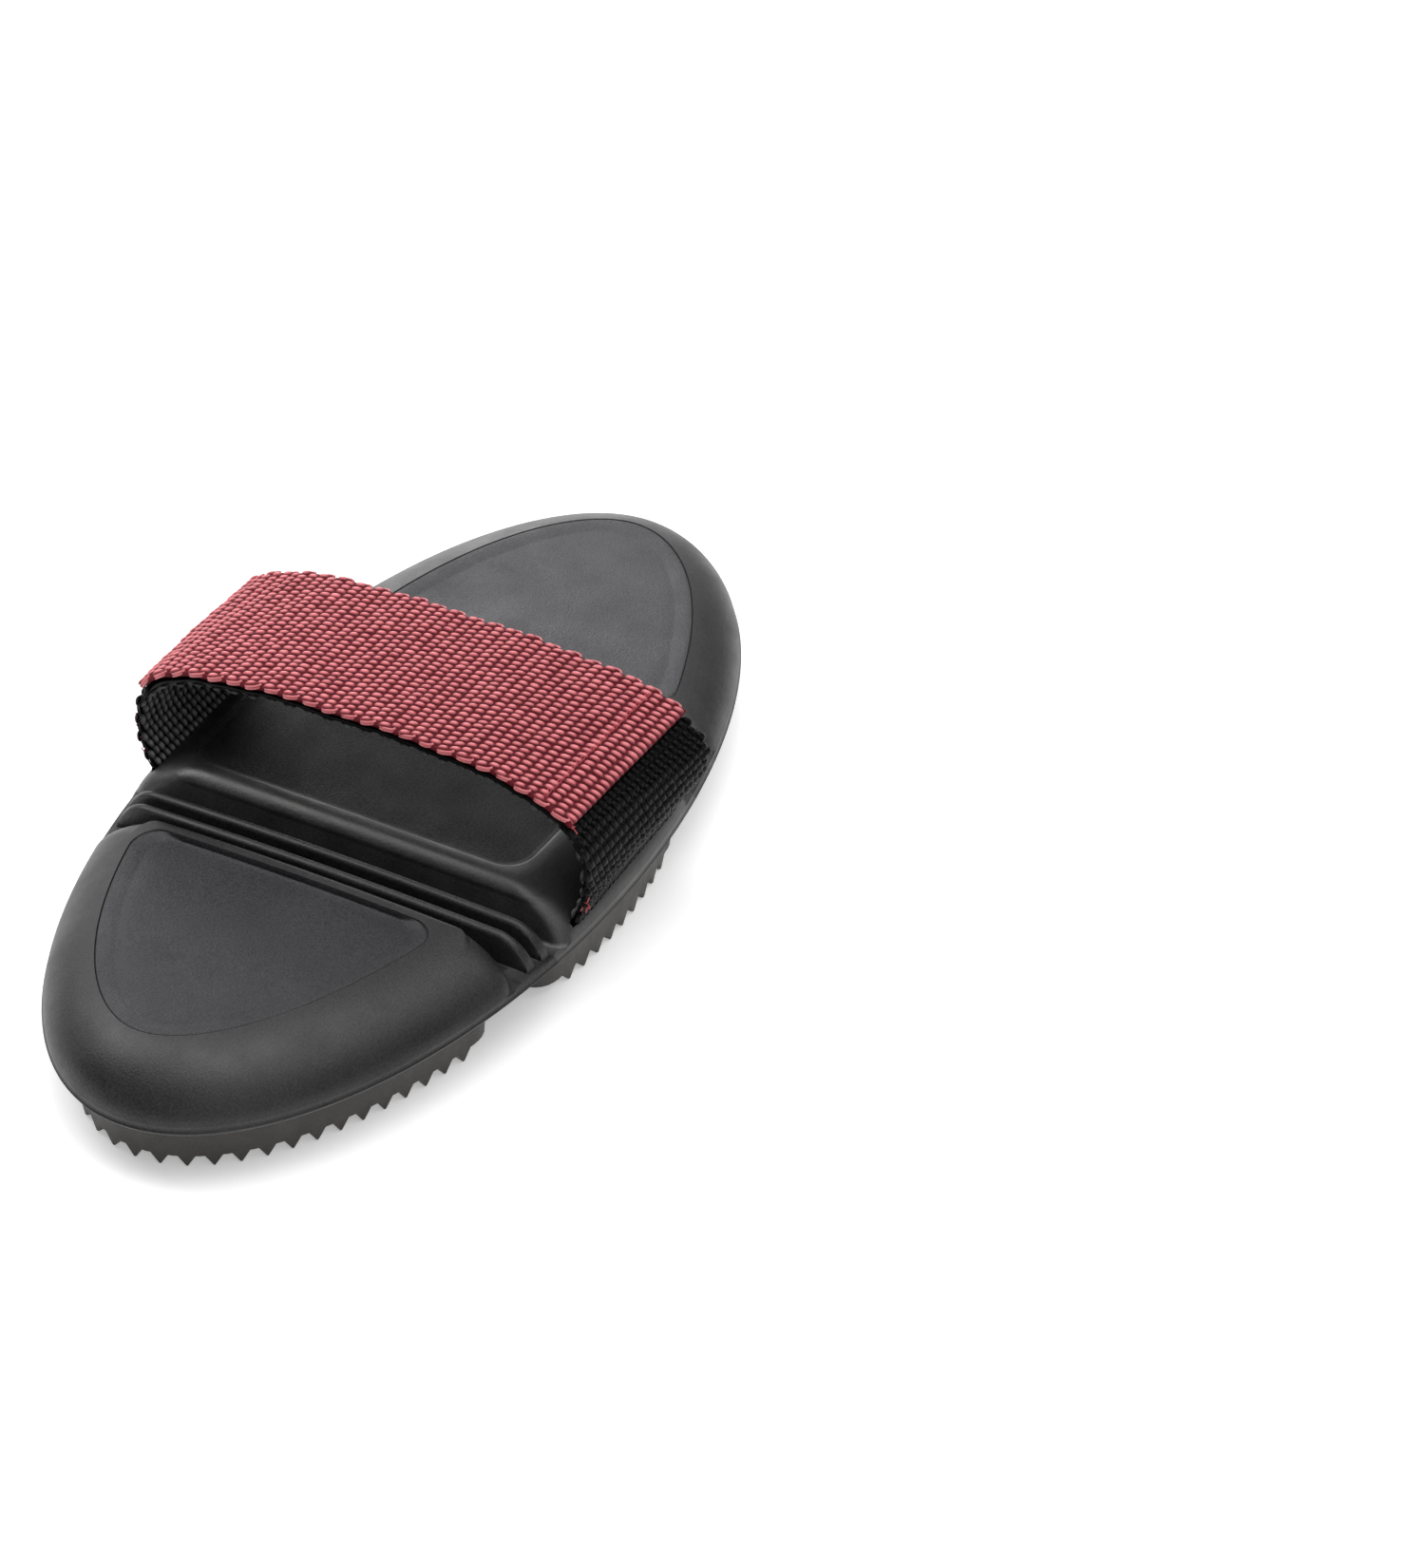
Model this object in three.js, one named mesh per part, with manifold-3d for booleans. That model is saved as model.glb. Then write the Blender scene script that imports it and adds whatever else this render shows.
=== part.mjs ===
// A flexible rubber curry brush with a webbing hand strap, standing on its teeth.
// Millimetres. X runs along the brush, Y across it and Z up, with the tooth tips at Z = 0.
import * as THREE from "three";
import { mergeVertices } from "three/addons/utils/BufferGeometryUtils.js";
import Module from "manifold-3d";

// Body, one rubber moulding
const BODY_LENGTH = 190;
const BODY_WIDTH = 91.6;
const BACK_HEIGHT = 21.3; // flat top of the back
const PARTING_HEIGHT = 11.3; // widest line round the body
const FLOOR_HEIGHT = 9.5; // underside between the ridges
const SIDE_ROUNDING = 14.4; // how far in from the rim the back becomes flat
const SIDE_FULLNESS = 1.86; // 2 is a true quarter ellipse
const BEAD_ROUNDING = 3; // rounding under the rim

// Ridges and teeth of the underside
const TOOTH_HEIGHT = 2.3;
const TOOTH_PITCH = 4.3;
const FINE_TOOTH_PITCH = 3.63; // long sides of the inner rectangle
const VALLEY_LENGTH = 1.4; // flat between two teeth
const RIDGE_TIP_WIDTH = 2.5;
const RIDGE_DRAFT = 0.04; // growth of each wall per millimetre of height
const RIDGE_INSET = 5.2; // rim to centre line of the outer ridge
const RIDGE_SPACING = 10.1; // centre line to centre line, outer to middle ridge
const LOBE_BASE_X = 37.3; // straight ridge of a lobe
const LOBE_INNER_APEX_INSET = 24.8; // rim to the point of a lobe's innermost ridge
const LOBE_INNER_HALF_BASE = 16.8; // half the innermost ridge's width at the straight ridge
const LOBE_INNER_BULGE = 2.2; // how far the innermost ridge bows outwards
const MIDDLE_OUTER_X = 24; // long sides of the outer rectangle
const MIDDLE_OUTER_BOW = 1.7; // its short sides bow out by this much
const MIDDLE_OUTER_Y = 42;
const MIDDLE_INNER_X = 15.2;
const MIDDLE_INNER_Y = 30.7;
const CROSS_RIDGE_Y = 19.6;
const OUTER_CORNER = 4.9; // toothless corner, measured along each side
const INNER_CORNER = 3.5;
const HOLE_DIAMETER = 3.8;
const HOLE_DEPTH = 5;
const LOBE_BASE_HOLE_SHARE = 0.42; // of the innermost ridge's half width
const LOBE_SIDE_HOLE_STEP = 1.5; // further from the straight ridge than the other holes there
const LOBE_END_HOLE_STEP = 0.6; // nearer to the straight ridge than midway
const FIELD_HOLE_X_SHARE = 0.44; // of the inner rectangle's half length
const FIELD_HOLE_Y_SHARE = 0.54; // of the way to the cross ridge
const END_HOLE_X_SHARE = 0.41;
const END_HOLE_STEP = 1; // nearer to the inner rectangle than midway
const SIDE_HOLE_Y_SHARE = 0.74; // of the inner rectangle's half width

// Bellows, where the body bends
const MIDDLE_EDGE_X = 21.6; // edge of the middle block's back
const MIDDLE_WALL_DRAFT = 2; // how far its end walls lean out towards their foot
const BELLOWS_START_X = 25.7;
const LOBE_EDGE_X = 34.4;
const REGION_GAP = 0.3; // between the regions of the body
const WEB_THICKNESS = 3;
const RIB_WIDTH = 1.8;
const RIB_DROP = 1.9; // rib tops lie this much below the back
const RIB_END_INSET = 1.2; // rib ends lie this much inside the rim
const RIB_END_ROUNDING = 6.5;
const OUTER_RIB_X = 30.9; // centre of the rib next to the lobe
const EDGE_CHAMFER = 1.1;

// Grained panels sunk into the back
const PANEL_DEPTH = 0.5;
const PANEL_BORDER = 11.6; // rim to panel, all round
const LOBE_PANEL_X = 37.6; // straight edge of a lobe's panel
const MIDDLE_PANEL_X = 18;
const PANEL_CORNER = 4.5;

// Hand strap
const STRAP_WIDTH = 38;
const WEBBING_THICKNESS = 1.6;
const FACING_THICKNESS = 1.3;
const LAYER_GAP = 0.3; // between the two layers of webbing
const ARCH_TOP_HEIGHT = 40.6; // centre of the black webbing over the middle
const ARCH_TILT = 1.2; // front edge higher than the centre, and back edge lower, by this much
const ARCH_SPRING_HEIGHT = 26; // where the loop is widest
const ARCH_FULLNESS = 2.8; // 2 is a half ellipse, more is squarer
const ARCH_HALF_WIDTH = 44.6;
const RIGHT_SIDE_SLACK = 0.9; // the loop leans out more on this side
const RIGHT_SIDE_SKEW = 1.6; // and more at its back edge than at its front edge
const ROOT_INSET = 2.9; // rim to where the strap enters the body
const ROOT_HEIGHT = 17;
const ROOT_DEPTH = 5.2; // how far down the ends are moulded in
const ROOT_LEAN = 1.9; // how far the buried ends lean inwards
const SLOT_CLEARANCE = 0.3;
const FACING_LEFT_END_HEIGHT = 27.5; // where the pink facing stops on the +Y side
const FACING_RIGHT_END_HEIGHT = 33.5;
const STITCH_COUNT = 12; // in each of the two rows across the facing
const STITCH_INSET = 5.5; // facing's end to its row of stitches
const THREAD_WIDTH = 0.9;
const THREAD_HEIGHT = 0.5;
const THREAD_LIFT = 0.1; // between the facing and the thread
const THREAD_DIP_HEIGHT = 0.17; // thread's height between two stitches
const FOOT_ROUNDING = 0.45; // share of the foot's height over which each of its ends curves

// Fineness of the round forms
const OUTLINE_POINTS = 76;
const SIDE_STEPS = 6;
const BEAD_STEPS = 3;
const STRAP_STEPS = 34;
const HOLE_SIDES = 10;
const CORNER_STEPS = 4;
const PANEL_ARC_STEPS = 18;
const STATIONS_PER_STITCH = 3;
const CURVE_SAMPLES = 400;
const HALVINGS = 50; // in the search for a point on the rim
const SHOULDER_CROWDING = 0.02; // moves the arch's steps from its flat top to its shoulders
const LONGEST_MITRE = 2;
const LARGEST_VALLEY_SHARE = 0.45; // of a tooth's length, for each half valley

const HALF_LENGTH = BODY_LENGTH / 2;
const HALF_WIDTH = BODY_WIDTH / 2;
const VALLEY_HEIGHT = TOOTH_HEIGHT;
const JOINING_VALLEY_HEIGHT = TOOTH_HEIGHT + 0.05; // of a ridge that runs into another one
const GROOVE_FLOOR = FLOOR_HEIGHT + WEB_THICKNESS;
const EMBED = 1; // how far ridges reach into the body they are joined to
const FAR = 400; // larger than the whole brush
const SMALLEST_DETAIL = 0.004; // shorter edges, left where cuts cross, are closed up

const wasm = await Module();
wasm.setup();

const rubber = new THREE.MeshStandardMaterial({ color: 0x2c2c30, roughness: 0.62, metalness: 0 });
const blackWebbing = new THREE.MeshStandardMaterial({ color: 0x1d1f1f, roughness: 0.9, metalness: 0 });
const pinkWebbing = new THREE.MeshStandardMaterial({ color: 0xb8505f, roughness: 0.85, metalness: 0 });
const pinkThread = new THREE.MeshStandardMaterial({ color: 0xd77c88, roughness: 0.8, metalness: 0 });

// Geometry helpers

function solidFromGeometry(geometry) {
  const bare = geometry.index ? geometry.clone() : geometry;
  for (const name of Object.keys(bare.attributes)) {
    if (name !== "position") bare.deleteAttribute(name);
  }
  const merged = mergeVertices(bare, 1e-4);
  return new wasm.Manifold(
    new wasm.Mesh({
      numProp: 3,
      vertProperties: new Float32Array(merged.attributes.position.array),
      triVerts: new Uint32Array(merged.index.array),
    }),
  );
}

function namedMesh(name, solid, material) {
  const made = solid.simplify(SMALLEST_DETAIL).getMesh();
  const positions = new Float32Array(made.numVert * 3);
  for (let i = 0; i < made.numVert; i++) {
    const start = i * made.numProp;
    positions.set(made.vertProperties.subarray(start, start + 3), i * 3);
  }
  const geometry = new THREE.BufferGeometry();
  geometry.setAttribute("position", new THREE.BufferAttribute(positions, 3));
  geometry.setIndex(new THREE.BufferAttribute(new Uint32Array(made.triVerts), 1));
  geometry.computeVertexNormals();
  const mesh = new THREE.Mesh(geometry, material);
  mesh.name = name;
  return mesh;
}

function fromPointsAndFaces(points, faces) {
  const geometry = new THREE.BufferGeometry();
  geometry.setAttribute("position", new THREE.Float32BufferAttribute(points.flat(), 3));
  geometry.setIndex(faces);
  return solidFromGeometry(geometry);
}

// A solid through rings of equally many points, each ring listed anticlockwise seen from
// where the rings are heading. A closed loft joins its last ring to its first.
function loft(rings, closed = false) {
  const count = rings[0].length;
  const points = rings.flat();
  const faces = [];
  const bands = closed ? rings.length : rings.length - 1;
  for (let r = 0; r < bands; r++) {
    const here = r * count;
    const next = ((r + 1) % rings.length) * count;
    for (let i = 0; i < count; i++) {
      const j = (i + 1) % count;
      faces.push(here + i, here + j, next + j, here + i, next + j, next + i);
    }
  }
  if (!closed) {
    const last = (rings.length - 1) * count;
    for (let i = 1; i < count - 1; i++) {
      faces.push(0, i + 1, i);
      faces.push(last, last + i, last + i + 1);
    }
  }
  return fromPointsAndFaces(points, faces);
}

function box(x0, x1, y0, y1, z0, z1) {
  const geometry = new THREE.BoxGeometry(x1 - x0, y1 - y0, z1 - z0);
  geometry.translate((x0 + x1) / 2, (y0 + y1) / 2, (z0 + z1) / 2);
  return solidFromGeometry(geometry);
}

// An outline in the XY plane, pushed up from z0 to z1
function upright(outline, z0, z1) {
  const shape = new THREE.Shape(outline);
  const geometry = new THREE.ExtrudeGeometry(shape, { depth: z1 - z0, bevelEnabled: false, steps: 1 });
  geometry.translate(0, 0, z0);
  return solidFromGeometry(geometry);
}

// An outline given as [x, z] pairs, pushed across the whole brush along Y
function across(outline) {
  const shape = new THREE.Shape(outline.map(([x, z]) => new THREE.Vector2(x, z)));
  const geometry = new THREE.ExtrudeGeometry(shape, { depth: 2 * FAR, bevelEnabled: false, steps: 1 });
  geometry.rotateX(Math.PI / 2);
  geometry.translate(0, FAR, 0);
  return solidFromGeometry(geometry);
}

// Body outline: an ellipse, and lines parallel to it at a given distance inside

function rimPoint(angle, inset) {
  const x = HALF_LENGTH * Math.cos(angle);
  const y = HALF_WIDTH * Math.sin(angle);
  const normal = new THREE.Vector2(x / HALF_LENGTH ** 2, y / HALF_WIDTH ** 2).normalize();
  return new THREE.Vector2(x - normal.x * inset, y - normal.y * inset);
}

function rimRing(inset, z) {
  const ring = [];
  for (let i = 0; i < OUTLINE_POINTS; i++) {
    const p = rimPoint((2 * Math.PI * i) / OUTLINE_POINTS, inset);
    ring.push([p.x, p.y, z]);
  }
  return ring;
}

// The domed oval that all five regions of the body are cut from. The drop lowers its back, the
// extra inset draws its sides in, and the ribs end on such a smaller dome with tighter sides.
function dome(drop = 0, extraInset = 0, sideRounding = SIDE_ROUNDING) {
  const rings = [];
  for (let i = 0; i <= BEAD_STEPS; i++) {
    const angle = (i / BEAD_STEPS) * (Math.PI / 2);
    const inset = BEAD_ROUNDING * (1 - Math.sin(angle));
    const z = FLOOR_HEIGHT + (PARTING_HEIGHT - FLOOR_HEIGHT) * (1 - Math.cos(angle));
    rings.push(rimRing(inset + extraInset, z));
  }
  const rise = BACK_HEIGHT - drop - PARTING_HEIGHT;
  for (let i = 1; i <= SIDE_STEPS; i++) {
    const angle = (i / SIDE_STEPS) * (Math.PI / 2);
    const inset = sideRounding * (1 - Math.cos(angle) ** (2 / SIDE_FULLNESS));
    const z = PARTING_HEIGHT + rise * Math.sin(angle) ** (2 / SIDE_FULLNESS);
    rings.push(rimRing(inset + extraInset, z));
  }
  return loft(rings);
}

// Ridges. A side is a run of curve that carries a whole number of teeth between two flat ends.

function wallHalfWidth(z) {
  return RIDGE_TIP_WIDTH / 2 + RIDGE_DRAFT * z;
}

// The points of one side: valley centres on the curve, and the teeth on the chords between
function toothedSide(curvePoint, pitch, valleyHeight = VALLEY_HEIGHT) {
  const samples = [];
  for (let i = 0; i <= CURVE_SAMPLES; i++) samples.push(curvePoint(i / CURVE_SAMPLES));
  const lengths = [0];
  for (let i = 1; i < samples.length; i++) {
    lengths.push(lengths[i - 1] + samples[i].distanceTo(samples[i - 1]));
  }
  const total = lengths[lengths.length - 1];
  const teeth = Math.max(1, Math.round(total / pitch));
  const valleys = [];
  let k = 0;
  for (let i = 0; i <= teeth; i++) {
    const target = (total * i) / teeth;
    while (k < lengths.length - 2 && lengths[k + 1] < target) k++;
    const share = (target - lengths[k]) / (lengths[k + 1] - lengths[k]);
    valleys.push(samples[k].clone().lerp(samples[k + 1], share));
  }
  const stations = [{ point: valleys[0], z: valleyHeight }];
  for (let i = 0; i < teeth; i++) {
    const from = valleys[i];
    const to = valleys[i + 1];
    const flat = Math.min(LARGEST_VALLEY_SHARE, VALLEY_LENGTH / 2 / from.distanceTo(to));
    stations.push({ point: from.clone().lerp(to, flat), z: valleyHeight });
    stations.push({ point: from.clone().lerp(to, 0.5), z: 0 });
    stations.push({ point: from.clone().lerp(to, 1 - flat), z: valleyHeight });
    stations.push({ point: to, z: valleyHeight });
  }
  return stations;
}

// A wall along the stations, flared by its draft and mitred where the stations turn
function ridge(stations, closed) {
  const count = stations.length;
  const rings = stations.map((station, i) => {
    const before = stations[closed ? (i + count - 1) % count : Math.max(i - 1, 0)].point;
    const after = stations[closed ? (i + 1) % count : Math.min(i + 1, count - 1)].point;
    const here = station.point;
    const first = here.distanceTo(before) > 0 ? here.clone().sub(before).normalize() : null;
    const second = after.distanceTo(here) > 0 ? after.clone().sub(here).normalize() : null;
    const inward = first ?? second;
    const outward = second ?? first;
    const mean = inward.clone().add(outward).normalize();
    const mitre = 1 / Math.max(1 / LONGEST_MITRE, mean.dot(outward));
    const side = new THREE.Vector2(-mean.y, mean.x).multiplyScalar(mitre);
    const at = (sign, z) => {
      const w = sign * wallHalfWidth(z);
      return [here.x + side.x * w, here.y + side.y * w, z];
    };
    const top = FLOOR_HEIGHT + EMBED;
    return [at(1, top), at(-1, top), at(-1, station.z), at(1, station.z)];
  });
  return loft(rings, closed);
}

function line(from, to) {
  return (t) => from.clone().lerp(to, t);
}

// A bow from one point to another that stands out sideways by a given height in its middle
function bow(from, to, height) {
  const along = to.clone().sub(from);
  const side = new THREE.Vector2(along.y, -along.x).normalize();
  const middle = from.clone().lerp(to, 0.5).addScaledVector(side, 2 * height);
  const curve = new THREE.QuadraticBezierCurve(from, middle, to);
  return (t) => curve.getPoint(t);
}

// Toothless corner between two sides, rounded about the point where they would meet
function cornerStations(from, corner, to) {
  const points = new THREE.QuadraticBezierCurve(from, corner, to).getPoints(CORNER_STEPS);
  return points.slice(1, -1).map((point) => ({ point, z: VALLEY_HEIGHT }));
}

// The angle at which a line parallel to the rim reaches a given distance from the middle
function rimAngleAtX(x, inset) {
  let low = 0;
  let high = Math.PI / 2;
  for (let i = 0; i < HALVINGS; i++) {
    const middle = (low + high) / 2;
    if (rimPoint(middle, inset).x > x) low = middle;
    else high = middle;
  }
  return low;
}

// The three nested ridges of the lobe on the +X side
function lobeRidges() {
  const base = LOBE_BASE_X;
  const outerMeet = rimPoint(rimAngleAtX(base, RIDGE_INSET), RIDGE_INSET);
  const arcAngle = rimAngleAtX(base + OUTER_CORNER, RIDGE_INSET);
  const arcEnd = rimPoint(arcAngle, RIDGE_INSET);
  const baseEnd = outerMeet.y - OUTER_CORNER;
  const low = (p) => new THREE.Vector2(p.x, -p.y);
  const arc = toothedSide((t) => rimPoint(arcAngle * (2 * t - 1), RIDGE_INSET), TOOTH_PITCH);
  const straight = toothedSide(
    line(new THREE.Vector2(base, baseEnd), new THREE.Vector2(base, -baseEnd)),
    TOOTH_PITCH,
  );
  const outer = [
    ...arc,
    ...cornerStations(arcEnd, outerMeet, new THREE.Vector2(base, baseEnd)),
    ...straight,
    ...cornerStations(new THREE.Vector2(base, -baseEnd), low(outerMeet), low(arcEnd)),
  ];
  const middleInset = RIDGE_INSET + RIDGE_SPACING;
  const start = rimAngleAtX(base, middleInset);
  const joining = (curve) => toothedSide(curve, TOOTH_PITCH, JOINING_VALLEY_HEIGHT);
  const middle = joining((t) => rimPoint(start * (2 * t - 1), middleInset));
  const point = new THREE.Vector2(HALF_LENGTH - LOBE_INNER_APEX_INSET, 0);
  const foot = new THREE.Vector2(base, LOBE_INNER_HALF_BASE);
  const upper = joining(bow(point, foot, LOBE_INNER_BULGE));
  const lower = joining(bow(low(foot), point, LOBE_INNER_BULGE));
  const inner = [...lower, ...upper.slice(1)];
  return [ridge(outer, true), ridge(middle, false), ridge(inner, false)];
}

// A rectangle of four toothed sides with toothless rounded corners
function rectangleRidge(halfX, halfY, bowHeight, corner, longPitch) {
  const x = halfX;
  const y = halfY;
  const inX = x - corner;
  const inY = y - corner;
  const p = (px, py) => new THREE.Vector2(px, py);
  const stations = [
    ...toothedSide(line(p(x, -inY), p(x, inY)), longPitch),
    ...cornerStations(p(x, inY), p(x, y), p(inX, y)),
    ...toothedSide(bow(p(inX, y), p(-inX, y), bowHeight), TOOTH_PITCH),
    ...cornerStations(p(-inX, y), p(-x, y), p(-x, inY)),
    ...toothedSide(line(p(-x, inY), p(-x, -inY)), longPitch),
    ...cornerStations(p(-x, -inY), p(-x, -y), p(-inX, -y)),
    ...toothedSide(bow(p(-inX, -y), p(inX, -y), bowHeight), TOOTH_PITCH),
    ...cornerStations(p(inX, -y), p(x, -y), p(x, -inY)),
  ];
  return ridge(stations, true);
}

function middleRidges() {
  const p = (x, y) => new THREE.Vector2(x, y);
  const outerY = MIDDLE_OUTER_Y - MIDDLE_OUTER_BOW;
  const crossing = (y) => {
    const run = line(p(-MIDDLE_INNER_X, y), p(MIDDLE_INNER_X, y));
    return ridge(toothedSide(run, TOOTH_PITCH, JOINING_VALLEY_HEIGHT), false);
  };
  return [
    rectangleRidge(MIDDLE_OUTER_X, outerY, MIDDLE_OUTER_BOW, OUTER_CORNER, TOOTH_PITCH),
    rectangleRidge(MIDDLE_INNER_X, MIDDLE_INNER_Y, 0, INNER_CORNER, FINE_TOOTH_PITCH),
    crossing(CROSS_RIDGE_Y),
    crossing(-CROSS_RIDGE_Y),
  ];
}

// Round holes up into the underside
function hole(x, y) {
  const depth = HOLE_DEPTH + EMBED;
  const geometry = new THREE.CylinderGeometry(HOLE_DIAMETER / 2, HOLE_DIAMETER / 2, depth, HOLE_SIDES);
  geometry.rotateX(Math.PI / 2);
  geometry.translate(x, y, FLOOR_HEIGHT - EMBED + depth / 2);
  return solidFromGeometry(geometry);
}

function bothSides(x, y) {
  return y === 0 ? [hole(x, 0)] : [hole(x, y), hole(x, -y)];
}

// Holes of a lobe stand in the fields between its ridges
function lobeHoles() {
  const baseX = LOBE_BASE_X + wallHalfWidth(FLOOR_HEIGHT) + HOLE_DIAMETER / 2;
  const outerChannel = RIDGE_INSET + RIDGE_SPACING / 2;
  const middleRidge = RIDGE_INSET + RIDGE_SPACING;
  const apex = (inset) => HALF_LENGTH - inset;
  const sideX = baseX + LOBE_SIDE_HOLE_STEP;
  const sideY = rimPoint(rimAngleAtX(sideX, outerChannel), outerChannel).y;
  const middleRidgeY = rimPoint(rimAngleAtX(baseX, middleRidge), middleRidge).y;
  const middleApexX = (apex(middleRidge) + apex(LOBE_INNER_APEX_INSET)) / 2;
  return [
    ...bothSides((baseX + apex(LOBE_INNER_APEX_INSET)) / 2, 0),
    ...bothSides(baseX, LOBE_INNER_HALF_BASE * LOBE_BASE_HOLE_SHARE),
    ...bothSides(baseX, (middleRidgeY + LOBE_INNER_HALF_BASE) / 2),
    ...bothSides(middleApexX - LOBE_END_HOLE_STEP, 0),
    ...bothSides(sideX, sideY),
    ...bothSides(apex(outerChannel) - LOBE_END_HOLE_STEP, RIDGE_INSET),
  ];
}

function middleHoles() {
  const channelX = (MIDDLE_OUTER_X + MIDDLE_INNER_X) / 2;
  const channelY = (MIDDLE_OUTER_Y + MIDDLE_INNER_Y) / 2 - END_HOLE_STEP;
  const at = (x, y) => [...bothSides(x, y), ...bothSides(-x, y)];
  return [
    hole(0, 0),
    ...at(MIDDLE_INNER_X * FIELD_HOLE_X_SHARE, CROSS_RIDGE_Y * FIELD_HOLE_Y_SHARE),
    ...at(MIDDLE_INNER_X * END_HOLE_X_SHARE, channelY),
    ...at(channelX, MIDDLE_INNER_Y * SIDE_HOLE_Y_SHARE),
  ];
}

// Grained panels

function panelCutter(outline) {
  return upright(outline, BACK_HEIGHT - PANEL_DEPTH, BACK_HEIGHT + FAR);
}

function roundedOutline(shape) {
  return shape.getPoints(CORNER_STEPS).filter((p, i, all) => i === 0 || p.distanceTo(all[i - 1]) > 1e-3);
}

function lobePanel() {
  const meet = rimAngleAtX(LOBE_PANEL_X, PANEL_BORDER);
  const start = rimAngleAtX(LOBE_PANEL_X + PANEL_CORNER, PANEL_BORDER);
  const corner = rimPoint(meet, PANEL_BORDER);
  const shape = new THREE.Shape();
  for (let i = 0; i <= PANEL_ARC_STEPS; i++) {
    const p = rimPoint(start * ((2 * i) / PANEL_ARC_STEPS - 1), PANEL_BORDER);
    if (i === 0) shape.moveTo(p.x, p.y);
    else shape.lineTo(p.x, p.y);
  }
  shape.quadraticCurveTo(corner.x, corner.y, LOBE_PANEL_X, corner.y - PANEL_CORNER);
  shape.lineTo(LOBE_PANEL_X, PANEL_CORNER - corner.y);
  const last = rimPoint(-start, PANEL_BORDER);
  shape.quadraticCurveTo(corner.x, -corner.y, last.x, last.y);
  const points = roundedOutline(shape);
  points.pop();
  return panelCutter(points);
}

function middlePanel() {
  const x = MIDDLE_PANEL_X;
  const y = HALF_WIDTH - PANEL_BORDER;
  const r = PANEL_CORNER;
  const shape = new THREE.Shape();
  shape.moveTo(x, r - y);
  shape.lineTo(x, y - r);
  shape.quadraticCurveTo(x, y, x - r, y);
  shape.lineTo(r - x, y);
  shape.quadraticCurveTo(-x, y, -x, y - r);
  shape.lineTo(-x, r - y);
  shape.quadraticCurveTo(-x, -y, r - x, -y);
  shape.lineTo(x - r, -y);
  shape.quadraticCurveTo(x, -y, x, r - y);
  const points = roundedOutline(shape);
  points.pop();
  return panelCutter(points);
}

// Strap. The share across its width runs from -1 at the front edge to 1 at the back edge.

const HALF_STRAP = STRAP_WIDTH / 2;
const ROOT_Y = HALF_WIDTH - ROOT_INSET;
const ROOT_STEPS = 2;
const FOOT_STEPS = 5;

function archPoint(angle, across) {
  const c = Math.cos(angle);
  const s = Math.sin(angle);
  const right = Math.max(0, -c);
  const spread = ARCH_HALF_WIDTH + right * (RIGHT_SIDE_SLACK + RIGHT_SIDE_SKEW * across);
  const y = Math.sign(c) * spread * Math.abs(c) ** (2 / ARCH_FULLNESS);
  const rise = ARCH_TOP_HEIGHT - ARCH_TILT * across - ARCH_SPRING_HEIGHT;
  return new THREE.Vector2(y, ARCH_SPRING_HEIGHT + rise * Math.abs(s) ** (2 / ARCH_FULLNESS));
}

// Centre line of the black webbing at one share of its width, as points [y, z]
function webbingLine(across) {
  const points = [];
  const half = (sign, angle) => {
    const spring = archPoint(angle, across);
    const root = new THREE.Vector2(sign * ROOT_Y, ROOT_HEIGHT);
    const buried = new THREE.Vector2(sign * (ROOT_Y - ROOT_LEAN), ROOT_HEIGHT - ROOT_DEPTH);
    const lean = root.clone().sub(buried).normalize();
    const reach = (ARCH_SPRING_HEIGHT - ROOT_HEIGHT) * FOOT_ROUNDING;
    const foot = new THREE.CubicBezierCurve(
      root,
      root.clone().addScaledVector(lean, reach),
      new THREE.Vector2(spring.x, spring.y - reach),
      spring,
    );
    const side = [];
    for (let i = 0; i < ROOT_STEPS; i++) side.push(buried.clone().lerp(root, i / ROOT_STEPS));
    for (let i = 0; i < FOOT_STEPS; i++) side.push(foot.getPoint(i / FOOT_STEPS));
    return side;
  };
  points.push(...half(1, 0));
  for (let i = 0; i <= STRAP_STEPS; i++) {
    // Even steps of the angle crowd at the flat top, so they are spread towards the shoulders
    const t = i / STRAP_STEPS;
    const angle = Math.PI * (t + Math.sin(4 * Math.PI * t) * SHOULDER_CROWDING);
    points.push(archPoint(angle, across));
  }
  points.push(...half(-1, Math.PI).reverse());
  return points;
}

function lineNormals(points) {
  return points.map((p, i) => {
    const before = points[Math.max(i - 1, 0)];
    const after = points[Math.min(i + 1, points.length - 1)];
    const along = after.clone().sub(before).normalize();
    return new THREE.Vector2(along.y, -along.x);
  });
}

function strapEdges() {
  return [-1, 1].map((across) => {
    const points = webbingLine(across);
    return { x: across * HALF_STRAP, points, normals: lineNormals(points) };
  });
}

// A band of cloth between two distances from the webbing's centre line
function strapBand(inside, outside, first, last) {
  const [front, back] = strapEdges();
  const rings = [];
  for (let i = first; i <= last; i++) {
    const at = (edge, distance) => {
      const p = edge.points[i].clone().addScaledVector(edge.normals[i], distance);
      return [edge.x, p.x, p.y];
    };
    rings.push([at(front, inside), at(back, inside), at(back, outside), at(front, outside)]);
  }
  return loft(rings);
}

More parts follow.
